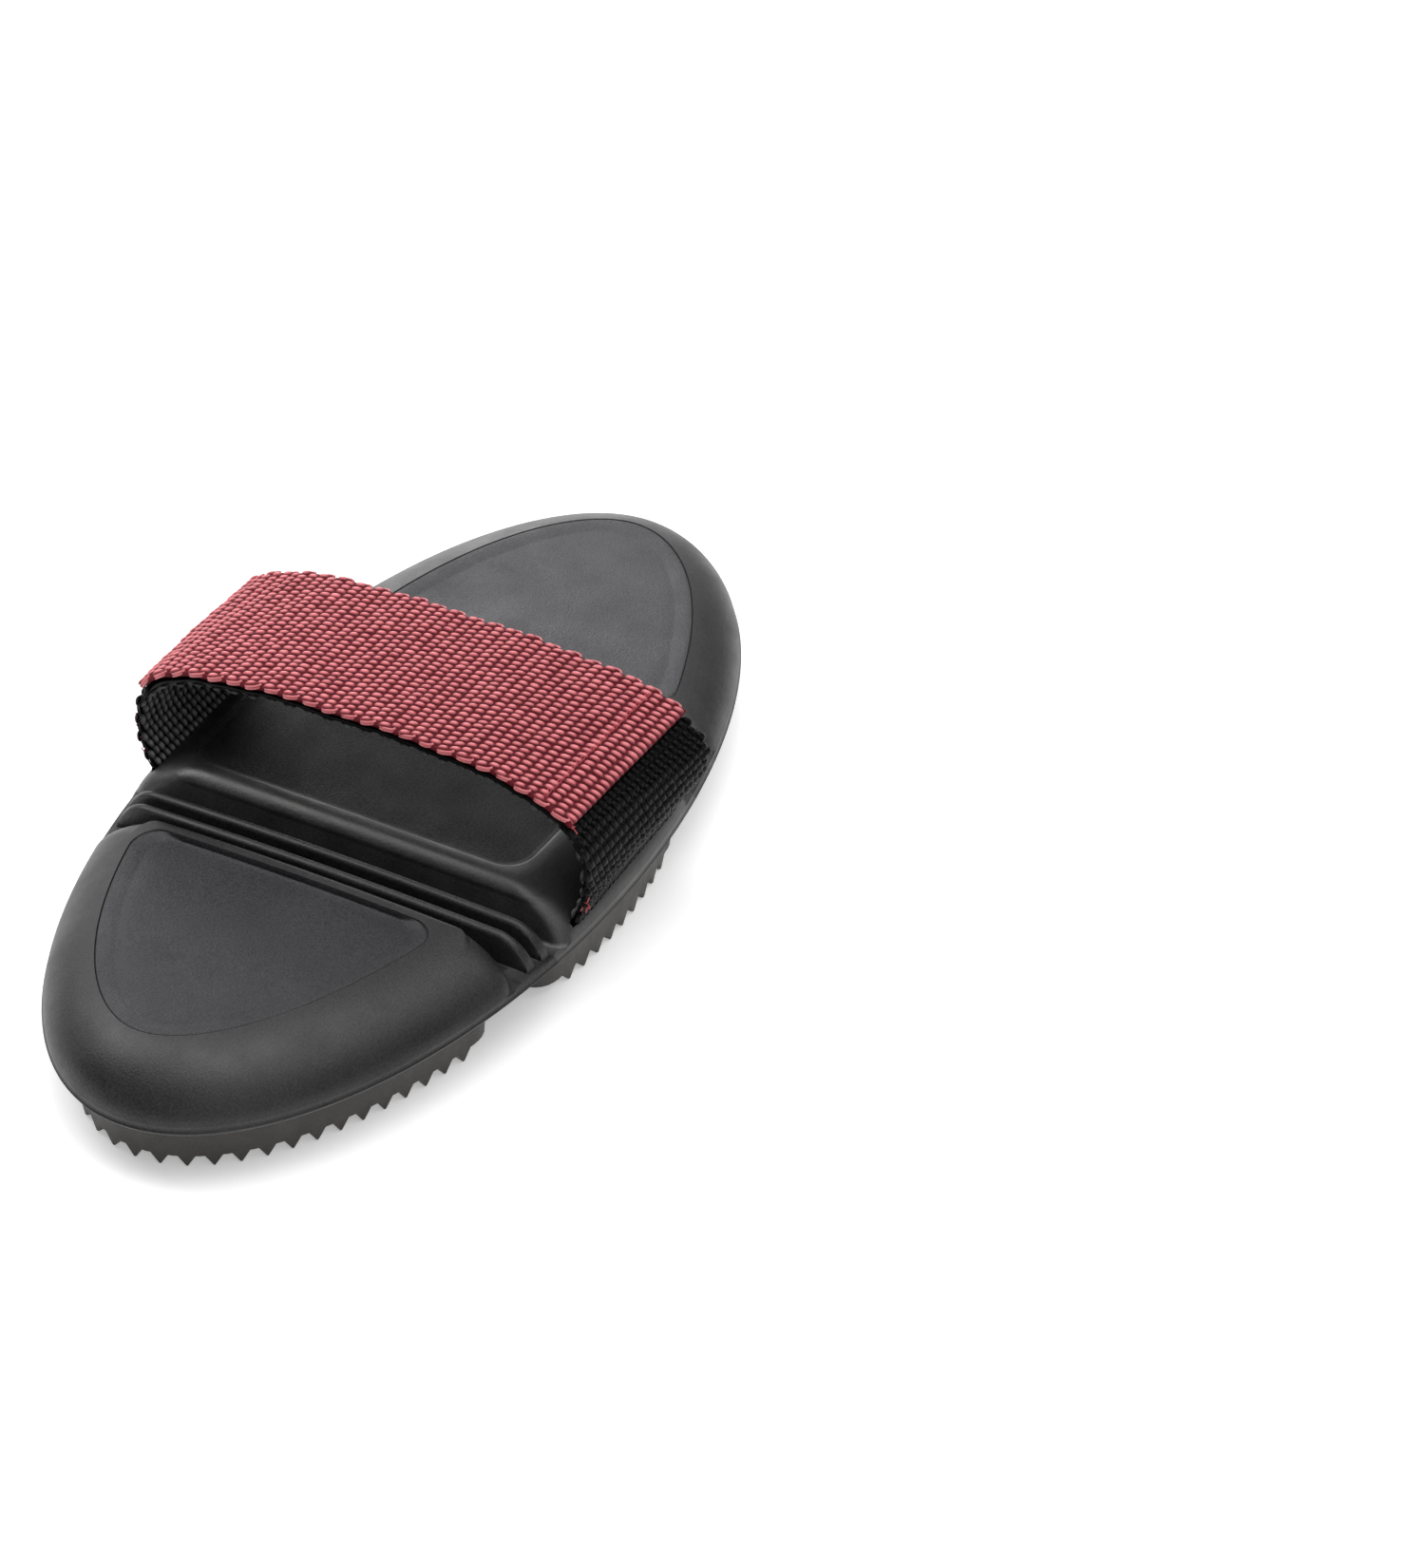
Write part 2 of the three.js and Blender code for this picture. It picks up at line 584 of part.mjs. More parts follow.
// A row of stitches across the strap, a set way in from the facing's end. The thread is one
// strip that stands up at each stitch and dips between them.
function stitchRow(end, step) {
  const [front, back] = strapEdges();
  const facingTop = WEBBING_THICKNESS / 2 + LAYER_GAP + FACING_THICKNESS;
  const place = (edge, way) => {
    let i = end;
    let rest = way;
    let length = edge.points[i].distanceTo(edge.points[i + step]);
    while (rest > length) {
      rest -= length;
      i += step;
      length = edge.points[i].distanceTo(edge.points[i + step]);
    }
    const share = rest / length;
    const point = edge.points[i].clone().lerp(edge.points[i + step], share);
    const normal = edge.normals[i].clone().lerp(edge.normals[i + step], share).normalize();
    return { x: edge.x, point, normal };
  };
  const rows = [STITCH_INSET - THREAD_WIDTH / 2, STITCH_INSET + THREAD_WIDTH / 2].map((way) => [
    place(front, way),
    place(back, way),
  ]);
  const at = (row, across, height) => {
    const [f, b] = row;
    const p = f.point.clone().lerp(b.point, across);
    const n = f.normal.clone().lerp(b.normal, across).normalize();
    const q = p.addScaledVector(n, facingTop + THREAD_LIFT + height);
    return [f.x + (b.x - f.x) * across, q.x, q.y];
  };
  const rings = [];
  const stations = STATIONS_PER_STITCH * STITCH_COUNT + 1;
  for (let i = 0; i < stations; i++) {
    const across = (i + 1) / (stations + 1);
    const height = i % STATIONS_PER_STITCH === 0 ? THREAD_DIP_HEIGHT : THREAD_HEIGHT;
    const foot = rows.map((row) => at(row, across, 0));
    const top = rows.map((row) => at(row, across, height)).reverse();
    rings.push([...foot, ...top]);
  }
  return loft(step < 0 ? rings : rings.reverse());
}

function facingRange() {
  const points = webbingLine(0);
  const endHeight = (p) => (p.x > 0 ? FACING_LEFT_END_HEIGHT : FACING_RIGHT_END_HEIGHT);
  const covered = points.map((p, i) => (p.y >= endHeight(p) ? i : -1)).filter((i) => i >= 0);
  return [covered[0], covered[covered.length - 1]];
}

function strapSlots() {
  const spare = WEBBING_THICKNESS / 2 + SLOT_CLEARANCE;
  const half = HALF_STRAP + SLOT_CLEARANCE;
  return [1, -1].map((sign) => {
    const root = new THREE.Vector2(sign * ROOT_Y, ROOT_HEIGHT);
    const buried = new THREE.Vector2(sign * (ROOT_Y - ROOT_LEAN), ROOT_HEIGHT - ROOT_DEPTH);
    const along = root.clone().sub(buried).normalize();
    const bottom = buried.clone().addScaledVector(along, -SLOT_CLEARANCE);
    const top = root.clone().addScaledVector(along, ROOT_DEPTH);
    const side = new THREE.Vector2(along.y, -along.x);
    const corner = (p, s) => p.clone().addScaledVector(side, s * spare);
    const outline = [corner(bottom, -1), corner(bottom, 1), corner(top, 1), corner(top, -1)];
    const section = (x) => outline.map((p) => [x, p.x, p.y]);
    return loft([section(-half), section(half)]);
  });
}

// Regions of the body

// Cross-section of the groove next to the middle block and of everything outside it
function middleBlockSection() {
  const c = EDGE_CHAMFER;
  const rightHalf = [
    [BELLOWS_START_X, -FAR],
    [BELLOWS_START_X, GROOVE_FLOOR],
    [MIDDLE_EDGE_X + MIDDLE_WALL_DRAFT, GROOVE_FLOOR],
    [MIDDLE_EDGE_X, BACK_HEIGHT - c],
    [MIDDLE_EDGE_X - c, BACK_HEIGHT],
    [MIDDLE_EDGE_X - c, FAR],
  ];
  const leftHalf = rightHalf.map(([x, z]) => [-x, z]).reverse();
  return across([...rightHalf, ...leftHalf]);
}

function lobeSection() {
  const c = EDGE_CHAMFER;
  return across([
    [LOBE_EDGE_X, -FAR],
    [FAR, -FAR],
    [FAR, FAR],
    [LOBE_EDGE_X + c, FAR],
    [LOBE_EDGE_X + c, BACK_HEIGHT],
    [LOBE_EDGE_X, BACK_HEIGHT - c],
  ]);
}

function ribSection(centreX) {
  const r = RIB_WIDTH / 2;
  const top = BACK_HEIGHT - RIB_DROP;
  return across([
    [centreX - r, GROOVE_FLOOR - EMBED],
    [centreX + r, GROOVE_FLOOR - EMBED],
    [centreX + r, top - r],
    [centreX + r / 2, top],
    [centreX - r / 2, top],
    [centreX - r, top - r],
  ]);
}

// The front half is the rear half turned round
function turnedRound(solid) {
  return solid.rotate([0, 0, 180]);
}

function joinAll(solids) {
  return solids.reduce((whole, next) => whole.add(next));
}

function cutAll(solid, cutters) {
  return cutters.reduce((rest, next) => rest.subtract(next), solid);
}

function lobe() {
  const block = dome().intersect(lobeSection());
  return cutAll(joinAll([block, ...lobeRidges()]), [...lobeHoles(), lobePanel()]);
}

function bellows() {
  const from = BELLOWS_START_X + REGION_GAP;
  const to = LOBE_EDGE_X - REGION_GAP;
  const web = dome().intersect(box(from, to, -FAR, FAR, -FAR, GROOVE_FLOOR));
  const innerRib = ribSection(from + RIB_WIDTH / 2);
  const ribs = innerRib.add(ribSection(OUTER_RIB_X));
  return web.add(ribs.intersect(dome(RIB_DROP, RIB_END_INSET, RIB_END_ROUNDING)));
}

function middleBlock() {
  const block = dome().intersect(middleBlockSection());
  return cutAll(joinAll([block, ...middleRidges()]), [...middleHoles(), middlePanel(), ...strapSlots()]);
}

// Assembly

const brush = new THREE.Group();
brush.name = "curry_brush";

const rearLobe = lobe();
const rearBellows = bellows();
const body = new THREE.Group();
body.add(namedMesh("middle_block", middleBlock(), rubber));
body.add(namedMesh("rear_bellows", rearBellows, rubber));
body.add(namedMesh("rear_lobe", rearLobe, rubber));
body.add(namedMesh("front_bellows", turnedRound(rearBellows), rubber));
body.add(namedMesh("front_lobe", turnedRound(rearLobe), rubber));
brush.add(body);

const strap = new THREE.Group();
const half = WEBBING_THICKNESS / 2;
const [facingStart, facingEnd] = facingRange();
const facingFrom = half + LAYER_GAP;
const webbingEnd = webbingLine(0).length - 1;
strap.add(namedMesh("strap_webbing", strapBand(-half, half, 0, webbingEnd), blackWebbing));
strap.add(
  namedMesh(
    "strap_facing",
    strapBand(facingFrom, facingFrom + FACING_THICKNESS, facingStart, facingEnd),
    pinkWebbing,
  ),
);
strap.add(namedMesh("left_stitches", stitchRow(facingStart, 1), pinkThread));
strap.add(namedMesh("right_stitches", stitchRow(facingEnd, -1), pinkThread));
brush.add(strap);

export default brush;
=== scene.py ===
import math
import bmesh
import bpy
import numpy as np
from mathutils import Matrix, Vector


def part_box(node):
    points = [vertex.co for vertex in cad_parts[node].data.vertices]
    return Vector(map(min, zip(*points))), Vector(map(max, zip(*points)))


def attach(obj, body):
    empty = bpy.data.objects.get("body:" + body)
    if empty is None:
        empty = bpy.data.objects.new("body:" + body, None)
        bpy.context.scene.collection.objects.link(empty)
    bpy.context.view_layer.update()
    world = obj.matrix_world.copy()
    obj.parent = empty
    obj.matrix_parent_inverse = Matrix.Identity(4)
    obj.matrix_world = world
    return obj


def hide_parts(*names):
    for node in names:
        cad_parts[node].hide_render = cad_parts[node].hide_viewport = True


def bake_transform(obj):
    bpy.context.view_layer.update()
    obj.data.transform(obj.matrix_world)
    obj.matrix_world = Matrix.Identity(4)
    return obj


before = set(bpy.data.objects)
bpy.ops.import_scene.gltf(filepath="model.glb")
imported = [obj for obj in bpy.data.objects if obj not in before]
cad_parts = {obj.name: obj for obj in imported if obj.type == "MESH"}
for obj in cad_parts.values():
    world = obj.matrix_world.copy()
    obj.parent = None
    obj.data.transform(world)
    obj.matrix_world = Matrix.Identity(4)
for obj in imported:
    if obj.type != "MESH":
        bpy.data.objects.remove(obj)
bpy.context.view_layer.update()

# All sizes are millimetres, in the CAD model's axes: X along the brush, Y across it, Z up
MM = 0.001


def box_mm(node):
    low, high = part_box(node)
    return np.array(low) / MM, np.array(high) / MM


# Sizes read from the frame
LOBE_LOW, LOBE_HIGH = box_mm("rear_lobe")
HALF_LENGTH, _, BACK = LOBE_HIGH
LOBE_EDGE_X = LOBE_LOW[0]
SEAM_X, HALF_WIDTH, _ = box_mm("middle_block")[1]
HALF_AXES = np.array([HALF_LENGTH, HALF_WIDTH])
HALF_STRAP = box_mm("strap_webbing")[1][0]

# Body, with heights from the tooth tips
PARTING = 11.3
FLOOR = 9.5
SIDE_ROUNDING = 14.4
SIDE_FULLNESS = 1.86
BEAD_ROUNDING = 3.0
GROOVE_FLOOR = 12.5
MIDDLE_EDGE_X = 21.6
MIDDLE_WALL_DRAFT = 2.0
MIDDLE_BACK = 20.6
LOBE_BACK = 21.9
CREST_X = 75.0
LOBE_CROWN = 0.0007
MIDDLE_CROWN = 0.0002
SHARP = 0.05  # corner radius where two regions meet
LOBE_CORNER = 4.2
MIDDLE_CORNER = 2.6
FLANGE_FILLET = 0.5
FILLET_LEVELS = ((0, 1), (0.3, 0.3), (1, 0))  # shares of the fillet: drawn in, below the groove's floor
RISE = BACK - PARTING
FLASH = 0.16
WALL_FOOT = ((0.02, 0.6), (0.15, 0.15))  # height over the groove's floor, and the middle's flare there
WALL_LEVEL = 0.5  # lowest ring of a domed side above the groove's floor
LOBE_STEPS, MIDDLE_STEPS = 30, 34  # rings up a domed side

# Bellows ribs
RIB_XS = (27.1, 31.0)
RIB_RADIUS = 0.95
RIB_TOP = 19.5
RIB_CROWN = 0.0005
RIB_END_INSET = 1.2
RIB_END_ROUNDING = 6.5
RIB_END_STEPS = 16
RIB_FEET = ((0.35, 0.0), (0.08, 0.04))  # distance outside a rib, and the share of its rise there

# Panels. A border runs between the side and the panel, whose shift across the brush it takes up
LOBE_LIP = 1.3
MIDDLE_LIP = 2.6
FRONT_PANEL, REAR_PANEL = (11.2, -2.3), (10.0, -1.0)  # border and shift
LOBE_SHOULDER = 3.2
SHOULDER_SHARES = (0.07, 0.15, 0.25, 0.37, 0.5, 0.63, 0.75, 0.87, 0.95)
MIDDLE_SHOULDER = 3.6
PANEL_X = 36.9
PANEL_CORNER = 4.5
BEVEL_WIDTH = 3.6
BEVEL_BACK_WIDTH = 0.5
PANEL_STEP = 0.16
PANEL_DEPTH = 1.0
PANEL_DISH = 0.25
LINE_WIDTH = 0.28
LINE_DEPTH = 0.14
PANEL_SLOPE = ((0.06, 0.02), (0.2, 0.13), (0.5, 0.45), (0.8, 0.79), (0.92, 0.93), (1.0, 0.99), (1.1, 1.0))
PANEL_SHARES = (0.93, 0.82, 0.68, 0.5, 0.32, 0.16, 0.05)
MIDDLE_PANEL_X = 17.6
MIDDLE_PANEL_BORDER = 10.6
MIDDLE_PANEL_SHIFT = 2.4
MIDDLE_PANEL_CORNER = 5.5
MIDDLE_BEVEL = 1.6
MIDDLE_DEPTH = 0.8
MIDDLE_SLOPE = (0, 0.25, 0.5, 0.75, 1.0, 1.2)
MIDDLE_SHARES = (0.9, 0.75, 0.55, 0.35, 0.15, 0.04)

# Ridges and teeth
TOOTH_HEIGHT = 2.3
TOOTH_PITCH = 4.3
FINE_TOOTH_PITCH = 3.63
RIDGE_TIP_WIDTH = 2.5
RIDGE_DRAFT = 0.04
RIDGE_INSET = 5.2
RIDGE_SPACING = 10.1
SECOND_INSET = RIDGE_INSET + RIDGE_SPACING
LOBE_BASE_X = 37.3
LOBE_INNER_APEX_INSET = 24.8
LOBE_INNER_HALF_BASE = 16.8
LOBE_INNER_BULGE = 2.2
MIDDLE_OUTER_X = 24.0
MIDDLE_OUTER_BOW = 1.7
MIDDLE_OUTER_Y = 42.0
MIDDLE_INNER_X = 15.2
MIDDLE_INNER_Y = 30.7
CROSS_RIDGE_Y = 19.6
OUTER_CORNER = 4.9
INNER_CORNER = 3.5
HOLE_RADIUS = 1.9
HOLE_LEVELS = ((1.08, 0), (1, 0.15), (1, 5.0))  # share of the radius, height over the floor
RIDGE_EDGE = 0.28
RIDGE_FOOT = ((0.55, 0.8), (0.5, 0.0), (0.12, -0.5))  # extra half width, height over the floor

# Strap
WEBBING_THICKNESS = 1.6
FACING_THICKNESS = 1.3
LAYER_GAP = 0.3
ARCH_TOP = 40.6
ARCH_TILT = 1.2
ARCH_SPRING = 26.0
ARCH_FULLNESS = 2.8
ARCH_HALF_WIDTH = 44.6
RIGHT_SLACK = 3.0
RIGHT_SKEW = 1.8
RIGHT_LIFT = 2.0
LEFT_ROOT_INSET = 3.3
RIGHT_ROOT_INSET = 1.6
ROOT_HEIGHT = 17.0
ROOT_DEPTH = 5.2
ROOT_LEAN = 1.9
FOOT_ROUNDING = 0.45
SLOT_CLEARANCE = 0.2
WAVES = ((0.16, 0.31, 0.11, 0), (0.1, 0.83, -0.2, 1))  # height, turn per millimetre along and across, phase
CALM_END = 8.0  # length at each end of the strap without waves
FACING_LEFT_END = 33.0
FACING_RIGHT_END = 34.5
STITCH_INSET = 6.4
STITCH_PITCH = 2.9

# Weave: grains stand in columns, and every second column is shifted by half a row
COLUMN_PITCH = 1.92
ROW_PITCH = 1.54
GRAIN_LENGTH = 2.15
GRAIN_WIDTH = 1.2
GRAIN_HEIGHT = 0.6
GRAIN_SLANT = math.radians(17)
LOOP_PITCH = 3.84
YARN_RELIEF = 0.32  # how far the ground stays under the webbing's face
YARN_LIFT = 0.1
BURIED_YARN = 2.4  # length at each end of the strap without grains
GRAIN_ALONG = np.array([-1, -0.86, -0.6, -0.25, 0.25, 0.6, 0.86, 1])
GRAIN_ACROSS = np.array([-1, -0.78, -0.3, 0.3, 0.78, 1])
GRAIN_SINK = 0.12
BAND_STEP = 0.9
LOOP_RADIUS, STITCH_RADIUS, FRAY_RADIUS = 0.24, 0.12, 0.11

# Camera: where it stands, how it is turned, and the photograph's focal length in its pixels
CAMERA_AT = (-487.08, -298.72, 467.12)
CAMERA_TURN = (51.6788, -1.2611, -62.9109)
FOCAL_PIXELS, PHOTO_HEIGHT, SENSOR = 4264.9, 1650, 36.0

# Meshes: crease angles in degrees, and points along the outlines
CREASE, ROUND_CREASE = 38, 60
ARC_POINTS = 150
FILLET_POINTS = 10
STRAIGHT_POINTS = 56
BEAD_STEPS = 6
TUBE_GUIDE = (0.31, 0.52, 0.79)  # no thread runs in this direction


# Meshes

class Shape:
    """Points and faces gathered for one mesh. Each face carries a material number."""

    def __init__(self):
        self.points = []
        self.faces = []
        self.slots = []
        self.count = 0

    def add(self, points, faces):
        points = np.asarray(points, float).reshape(-1, 3)
        start = self.count
        self.points.append(points)
        self.faces.extend([[i + start for i in face] for face in faces])
        self.slots.extend([0] * len(faces))
        self.count += len(points)
        return start


def loft(shape, rings, slots=None, cap=None, ends=False):
    """Joins rings in turn. The last one closes to the point cap, and ends closes both flat."""
    count = len(rings[0])
    start = shape.add(np.concatenate(rings), [])
    last = start + (len(rings) - 1) * count
    for r in range(len(rings) - 1):
        a, b = start + r * count, start + (r + 1) * count
        shape.faces.extend([[a + i, a + (i + 1) % count, b + (i + 1) % count, b + i] for i in range(count)])
        shape.slots.extend([slots[r] if slots else 0] * count)
    if cap is not None:
        middle = shape.add([cap], [])
        shape.faces.extend([[last + i, last + (i + 1) % count, middle] for i in range(count)])
        shape.slots.extend([slots[-1]] * count)
    if ends:
        shape.faces += [[first + i for i in range(count)] for first in (start, last)]
        shape.slots += [0, 0]


def fill_crown(obj, values):
    """Stores how high each point stands within its yarn. The webbing's colours follow it: painted shade
    where the yarn dips, a painted highlight on its top.
    """
    crown = obj.data.attributes.new("crown", "FLOAT", "POINT")
    crown.data.foreach_set("value", (np.ones(len(obj.data.vertices)) * values).astype(np.float32))


def make_object(name, shape, materials, sharp=CREASE, merge=None, outward=True):
    mesh = bpy.data.meshes.new(name)
    points = np.concatenate(shape.points) * MM
    mesh.from_pydata(points.tolist(), [], shape.faces)
    for material in materials:
        mesh.materials.append(material)
    mesh.polygons.foreach_set("material_index", shape.slots)
    if outward:
        bm = bmesh.new()
        bm.from_mesh(mesh)
        if merge:
            bmesh.ops.remove_doubles(bm, verts=bm.verts, dist=merge * MM)
        bmesh.ops.recalc_face_normals(bm, faces=bm.faces)
        bm.to_mesh(mesh)
        bm.free()
    obj = new_object(name, mesh)
    soften(obj, sharp)
    return obj


def new_object(name, data):
    obj = bpy.data.objects.new(name, data)
    bpy.context.scene.collection.objects.link(obj)
    return obj


def soften(obj, sharp=CREASE):
    obj.data.shade_smooth()
    obj.data.set_sharp_from_angle(angle=math.radians(sharp))


# Body outline: an ellipse, and lines parallel to it at a given distance inside

def unit(v):
    return v / np.linalg.norm(v, axis=-1, keepdims=True)


def rim(angle):
    return HALF_AXES * np.stack([np.cos(angle), np.sin(angle)], -1)


def rim_normal(angle):
    return unit(rim(angle) / HALF_AXES**2)


def rim_point(angle, inset):
    return rim(angle) - rim_normal(angle) * inset


def rim_angle_at(x, inset):
    low, high = 0.0, math.pi / 2
    for _ in range(50):
        middle = (low + high) / 2
        if rim_point(middle, inset)[0] > x:
            low = middle
        else:
            high = middle
    return low


def inset_of(x, y):
    """How far inside the rim a point lies."""
    angle = np.arctan2(y / HALF_WIDTH, x / HALF_LENGTH)
    for _ in range(8):
        ex, ey = np.moveaxis(rim(angle), -1, 0)
        dx, dy = -HALF_LENGTH * np.sin(angle), HALF_WIDTH * np.cos(angle)
        slope = (ex - x) * dx + (ey - y) * dy
        bend = dx * dx + dy * dy - (ex - x) * ex - (ey - y) * ey
        angle = angle - slope / np.maximum(bend, dx * dx * 0.3 + dy * dy * 0.3)
    return ((rim(angle) - np.stack([x, y], -1)) * rim_normal(angle)).sum(-1)


def smooth(t):
    t = np.clip(t, 0, 1)
    return t * t * (3 - 2 * t)


def back_height(x, y, crown):
    """Top of the back, before its sides and lips round off."""
    return MIDDLE_BACK + (LOBE_BACK - MIDDLE_BACK) * smooth(np.abs(x) / CREST_X) - crown * y * y


def side_height(x, y, top):
    """Height of the domed sides under a back of the given height."""
    d = np.clip(inset_of(x, y), 0, SIDE_ROUNDING)
    q = ((SIDE_ROUNDING - d) / SIDE_ROUNDING) ** SIDE_FULLNESS
    return PARTING + (top - PARTING) * (1 - q) ** (1 / SIDE_FULLNESS)


def side_levels(steps, until=math.pi / 2):
    """Insets of the domed sides with their heights as shares of the whole rise."""
    angles = np.linspace(0, until, steps + 1)
    insets = SIDE_ROUNDING * (1 - np.cos(angles) ** (2 / SIDE_FULLNESS))
    return zip(insets, np.sin(angles) ** (2 / SIDE_FULLNESS))


def side_inset(share):
    """Where the domed side has risen by a share of its whole height."""
    return SIDE_ROUNDING * (1 - (1 - share**SIDE_FULLNESS) ** (1 / SIDE_FULLNESS))


def side_angle(inset):
    return math.acos((1 - inset / SIDE_ROUNDING) ** (SIDE_FULLNESS / 2))


def bead_levels(steps):
    """The rounded rim, with a thin flash along its parting line."""
    angles = np.linspace(0, math.pi / 2, steps + 1)[:-1]
    insets = BEAD_ROUNDING * (1 - np.sin(angles))
    levels = list(zip(insets, FLOOR + (PARTING - FLOOR) * (1 - np.cos(angles))))
    flash = ((0, -FLASH), (-FLASH, -FLASH / 2), (-FLASH, 0), (0, FLASH))
    return levels + [(inset, PARTING + z) for inset, z in flash]


def wall_offset(drop, lip, draft):
    """How far inside its edge line an end wall stands, at a depth below the back."""
    if drop < lip:
        return lip - math.sqrt(lip**2 - (lip - drop) ** 2)
    return -draft * (drop - lip) / (BACK - GROOVE_FLOOR - lip)


def rounded_back(outline, top, offset, lip):
    """Height of the back, where its domed side and the rounded edge of an end wall meet."""
    side = top - side_height(outline[:, 0], outline[:, 1], top)
    left = np.clip((lip - offset) / lip, 0, 1)
    edge = lip * (1 - np.sqrt(1 - left**2))
    return top - np.hypot(side, edge)


def tucked(outline, amount, weight):
    """Draws in the points of an outline across the brush."""
    return np.column_stack([outline[:, 0], outline[:, 1] - np.sign(outline[:, 1]) * amount * weight])


def arc(centre, radius, start, end, count=FILLET_POINTS):
    angles = np.linspace(start, end, count)
    return np.asarray(centre) + radius * np.stack([np.cos(angles), np.sin(angles)], -1)


def corner_arc(inset, x, corner):
    """Where the rim meets a rounded corner, the corner's centre and the direction between them."""
    turn = rim_angle_at(x, inset + corner)
    nx, ny = rim_normal(turn)
    return turn, rim_point(turn, inset + corner), math.atan2(ny, nx)


def cross_line(x, start, end):
    y = np.linspace(start, end, STRAIGHT_POINTS)
    return np.stack([np.full(y.shape, x), y], -1)


def lobe_outline(inset, edge_x, corner):
    """A D: the rim's curve at an inset, cut off at edge_x, with rounded corners."""
    turn, centre, lean = corner_arc(inset, edge_x + corner, corner)
    curve = rim_point(np.linspace(-turn, turn, ARC_POINTS), inset)
    upper = arc(centre, corner, lean, math.pi)[1:]
    side = cross_line(edge_x, centre[1], -centre[1])[1:]
    lower = arc(centre * [1, -1], corner, math.pi, 2 * math.pi - lean)[1:-1]
    return np.concatenate([curve, upper, side, lower])


def middle_outline(inset, edge_x, corner):
    """Two of the rim's curves at an inset, joined by straight sides at plus and minus edge_x."""
    turn, centre, lean = corner_arc(inset, edge_x - corner, corner)
    side = cross_line(edge_x, -centre[1], centre[1])
    first = arc(centre, corner, 0, lean)[1:]
    curve = rim_point(np.linspace(turn, math.pi - turn, STRAIGHT_POINTS), inset)[1:]
    second = arc(centre * [-1, 1], corner, math.pi - lean, math.pi)[1:-1]
    half = np.concatenate([side, first, curve, second])
    return np.concatenate([half, -half])


# Underside

def fill_floor(obj, holes):
    """Closes the open underside with a flat floor and round blind holes in it."""
    bm = bmesh.new()
    bm.from_mesh(obj.data)
    edges = [e for e in bm.edges if e.is_boundary]
    for x, y in holes:
        rings = []
        for share, z in HOLE_LEVELS:
            ring = arc((x, y), HOLE_RADIUS * share, 0, 2 * math.pi, 25)[:-1]
            rings.append([bm.verts.new(Vector((px, py, FLOOR + z)) * MM) for px, py in ring])
        turned = [ring[1:] + ring[:1] for ring in rings]
        for k in (0, 1):
            for corners in zip(rings[k], turned[k], turned[k + 1], rings[k + 1]):
                bm.faces.new(corners)
        bm.faces.new(rings[-1])
        edges += [bm.edges.get(pair) for pair in zip(rings[0], turned[0])]
    bmesh.ops.triangle_fill(bm, use_beauty=True, use_dissolve=False, edges=edges, normal=(0, 0, -1))
    bmesh.ops.recalc_face_normals(bm, faces=bm.faces)
    bm.to_mesh(obj.data)
    bm.free()


def wall_half_width(z):
    return RIDGE_TIP_WIDTH / 2 + RIDGE_DRAFT * z


# One tooth: how far along it each station stands, and its height
TOOTH_STATIONS = (
    (0.0, TOOTH_HEIGHT),
    (0.14, TOOTH_HEIGHT),
    (0.175, TOOTH_HEIGHT - 0.12),
    *((0.44, 0.26), (0.47, 0.07), (0.5, 0.0), (0.53, 0.07), (0.56, 0.26)),
    (0.825, TOOTH_HEIGHT - 0.12),
    (0.86, TOOTH_HEIGHT),
)


def run_lengths(points):
    """How far along a line each of its points lies."""
    return np.concatenate([[0], np.cumsum(np.linalg.norm(np.diff(points, axis=0), axis=1))])


def point_at(place, lengths, line):
    return np.stack([np.interp(place, lengths, line[:, k]) for k in (0, 1)], -1)


def toothed_side(curve, pitch=TOOTH_PITCH):
    """Stations of a toothed ridge along a curve, its teeth evenly spaced."""
    samples = curve(np.linspace(0, 1, 401))
    lengths = run_lengths(samples)
    teeth = max(1, round(lengths[-1] / pitch))
    targets = np.linspace(0, lengths[-1], teeth + 1)
    valleys = point_at(targets, lengths, samples)
    stations = []
    for start, end in zip(valleys, valleys[1:]):
        stations += [[*(start + (end - start) * share), z] for share, z in TOOTH_STATIONS]
    return stations + [[*valleys[-1], TOOTH_HEIGHT]]


def bent_line(start, middle, end):
    """A parabola from start to end that leans towards middle."""
    def curve(t):
        t = t[:, None]
        return (1 - t) ** 2 * start + 2 * t * (1 - t) * middle + t**2 * end

    return curve


def bow(start, end, height=0.0):
    """A bowed line, or a straight one without height."""
    across = unit(end - start)[::-1] * [1, -1]
    return bent_line(start, (start + end) / 2 + across * 2 * height, end)


def rim_run(turn, inset):
    return lambda t: rim_point(turn * (2 * t - 1), inset)


def corner_side(start, corner, end):
    t = np.linspace(0, 1, 9)[1:-1]
    return [[*p, TOOTH_HEIGHT] for p in bent_line(start, corner, end)(t)]


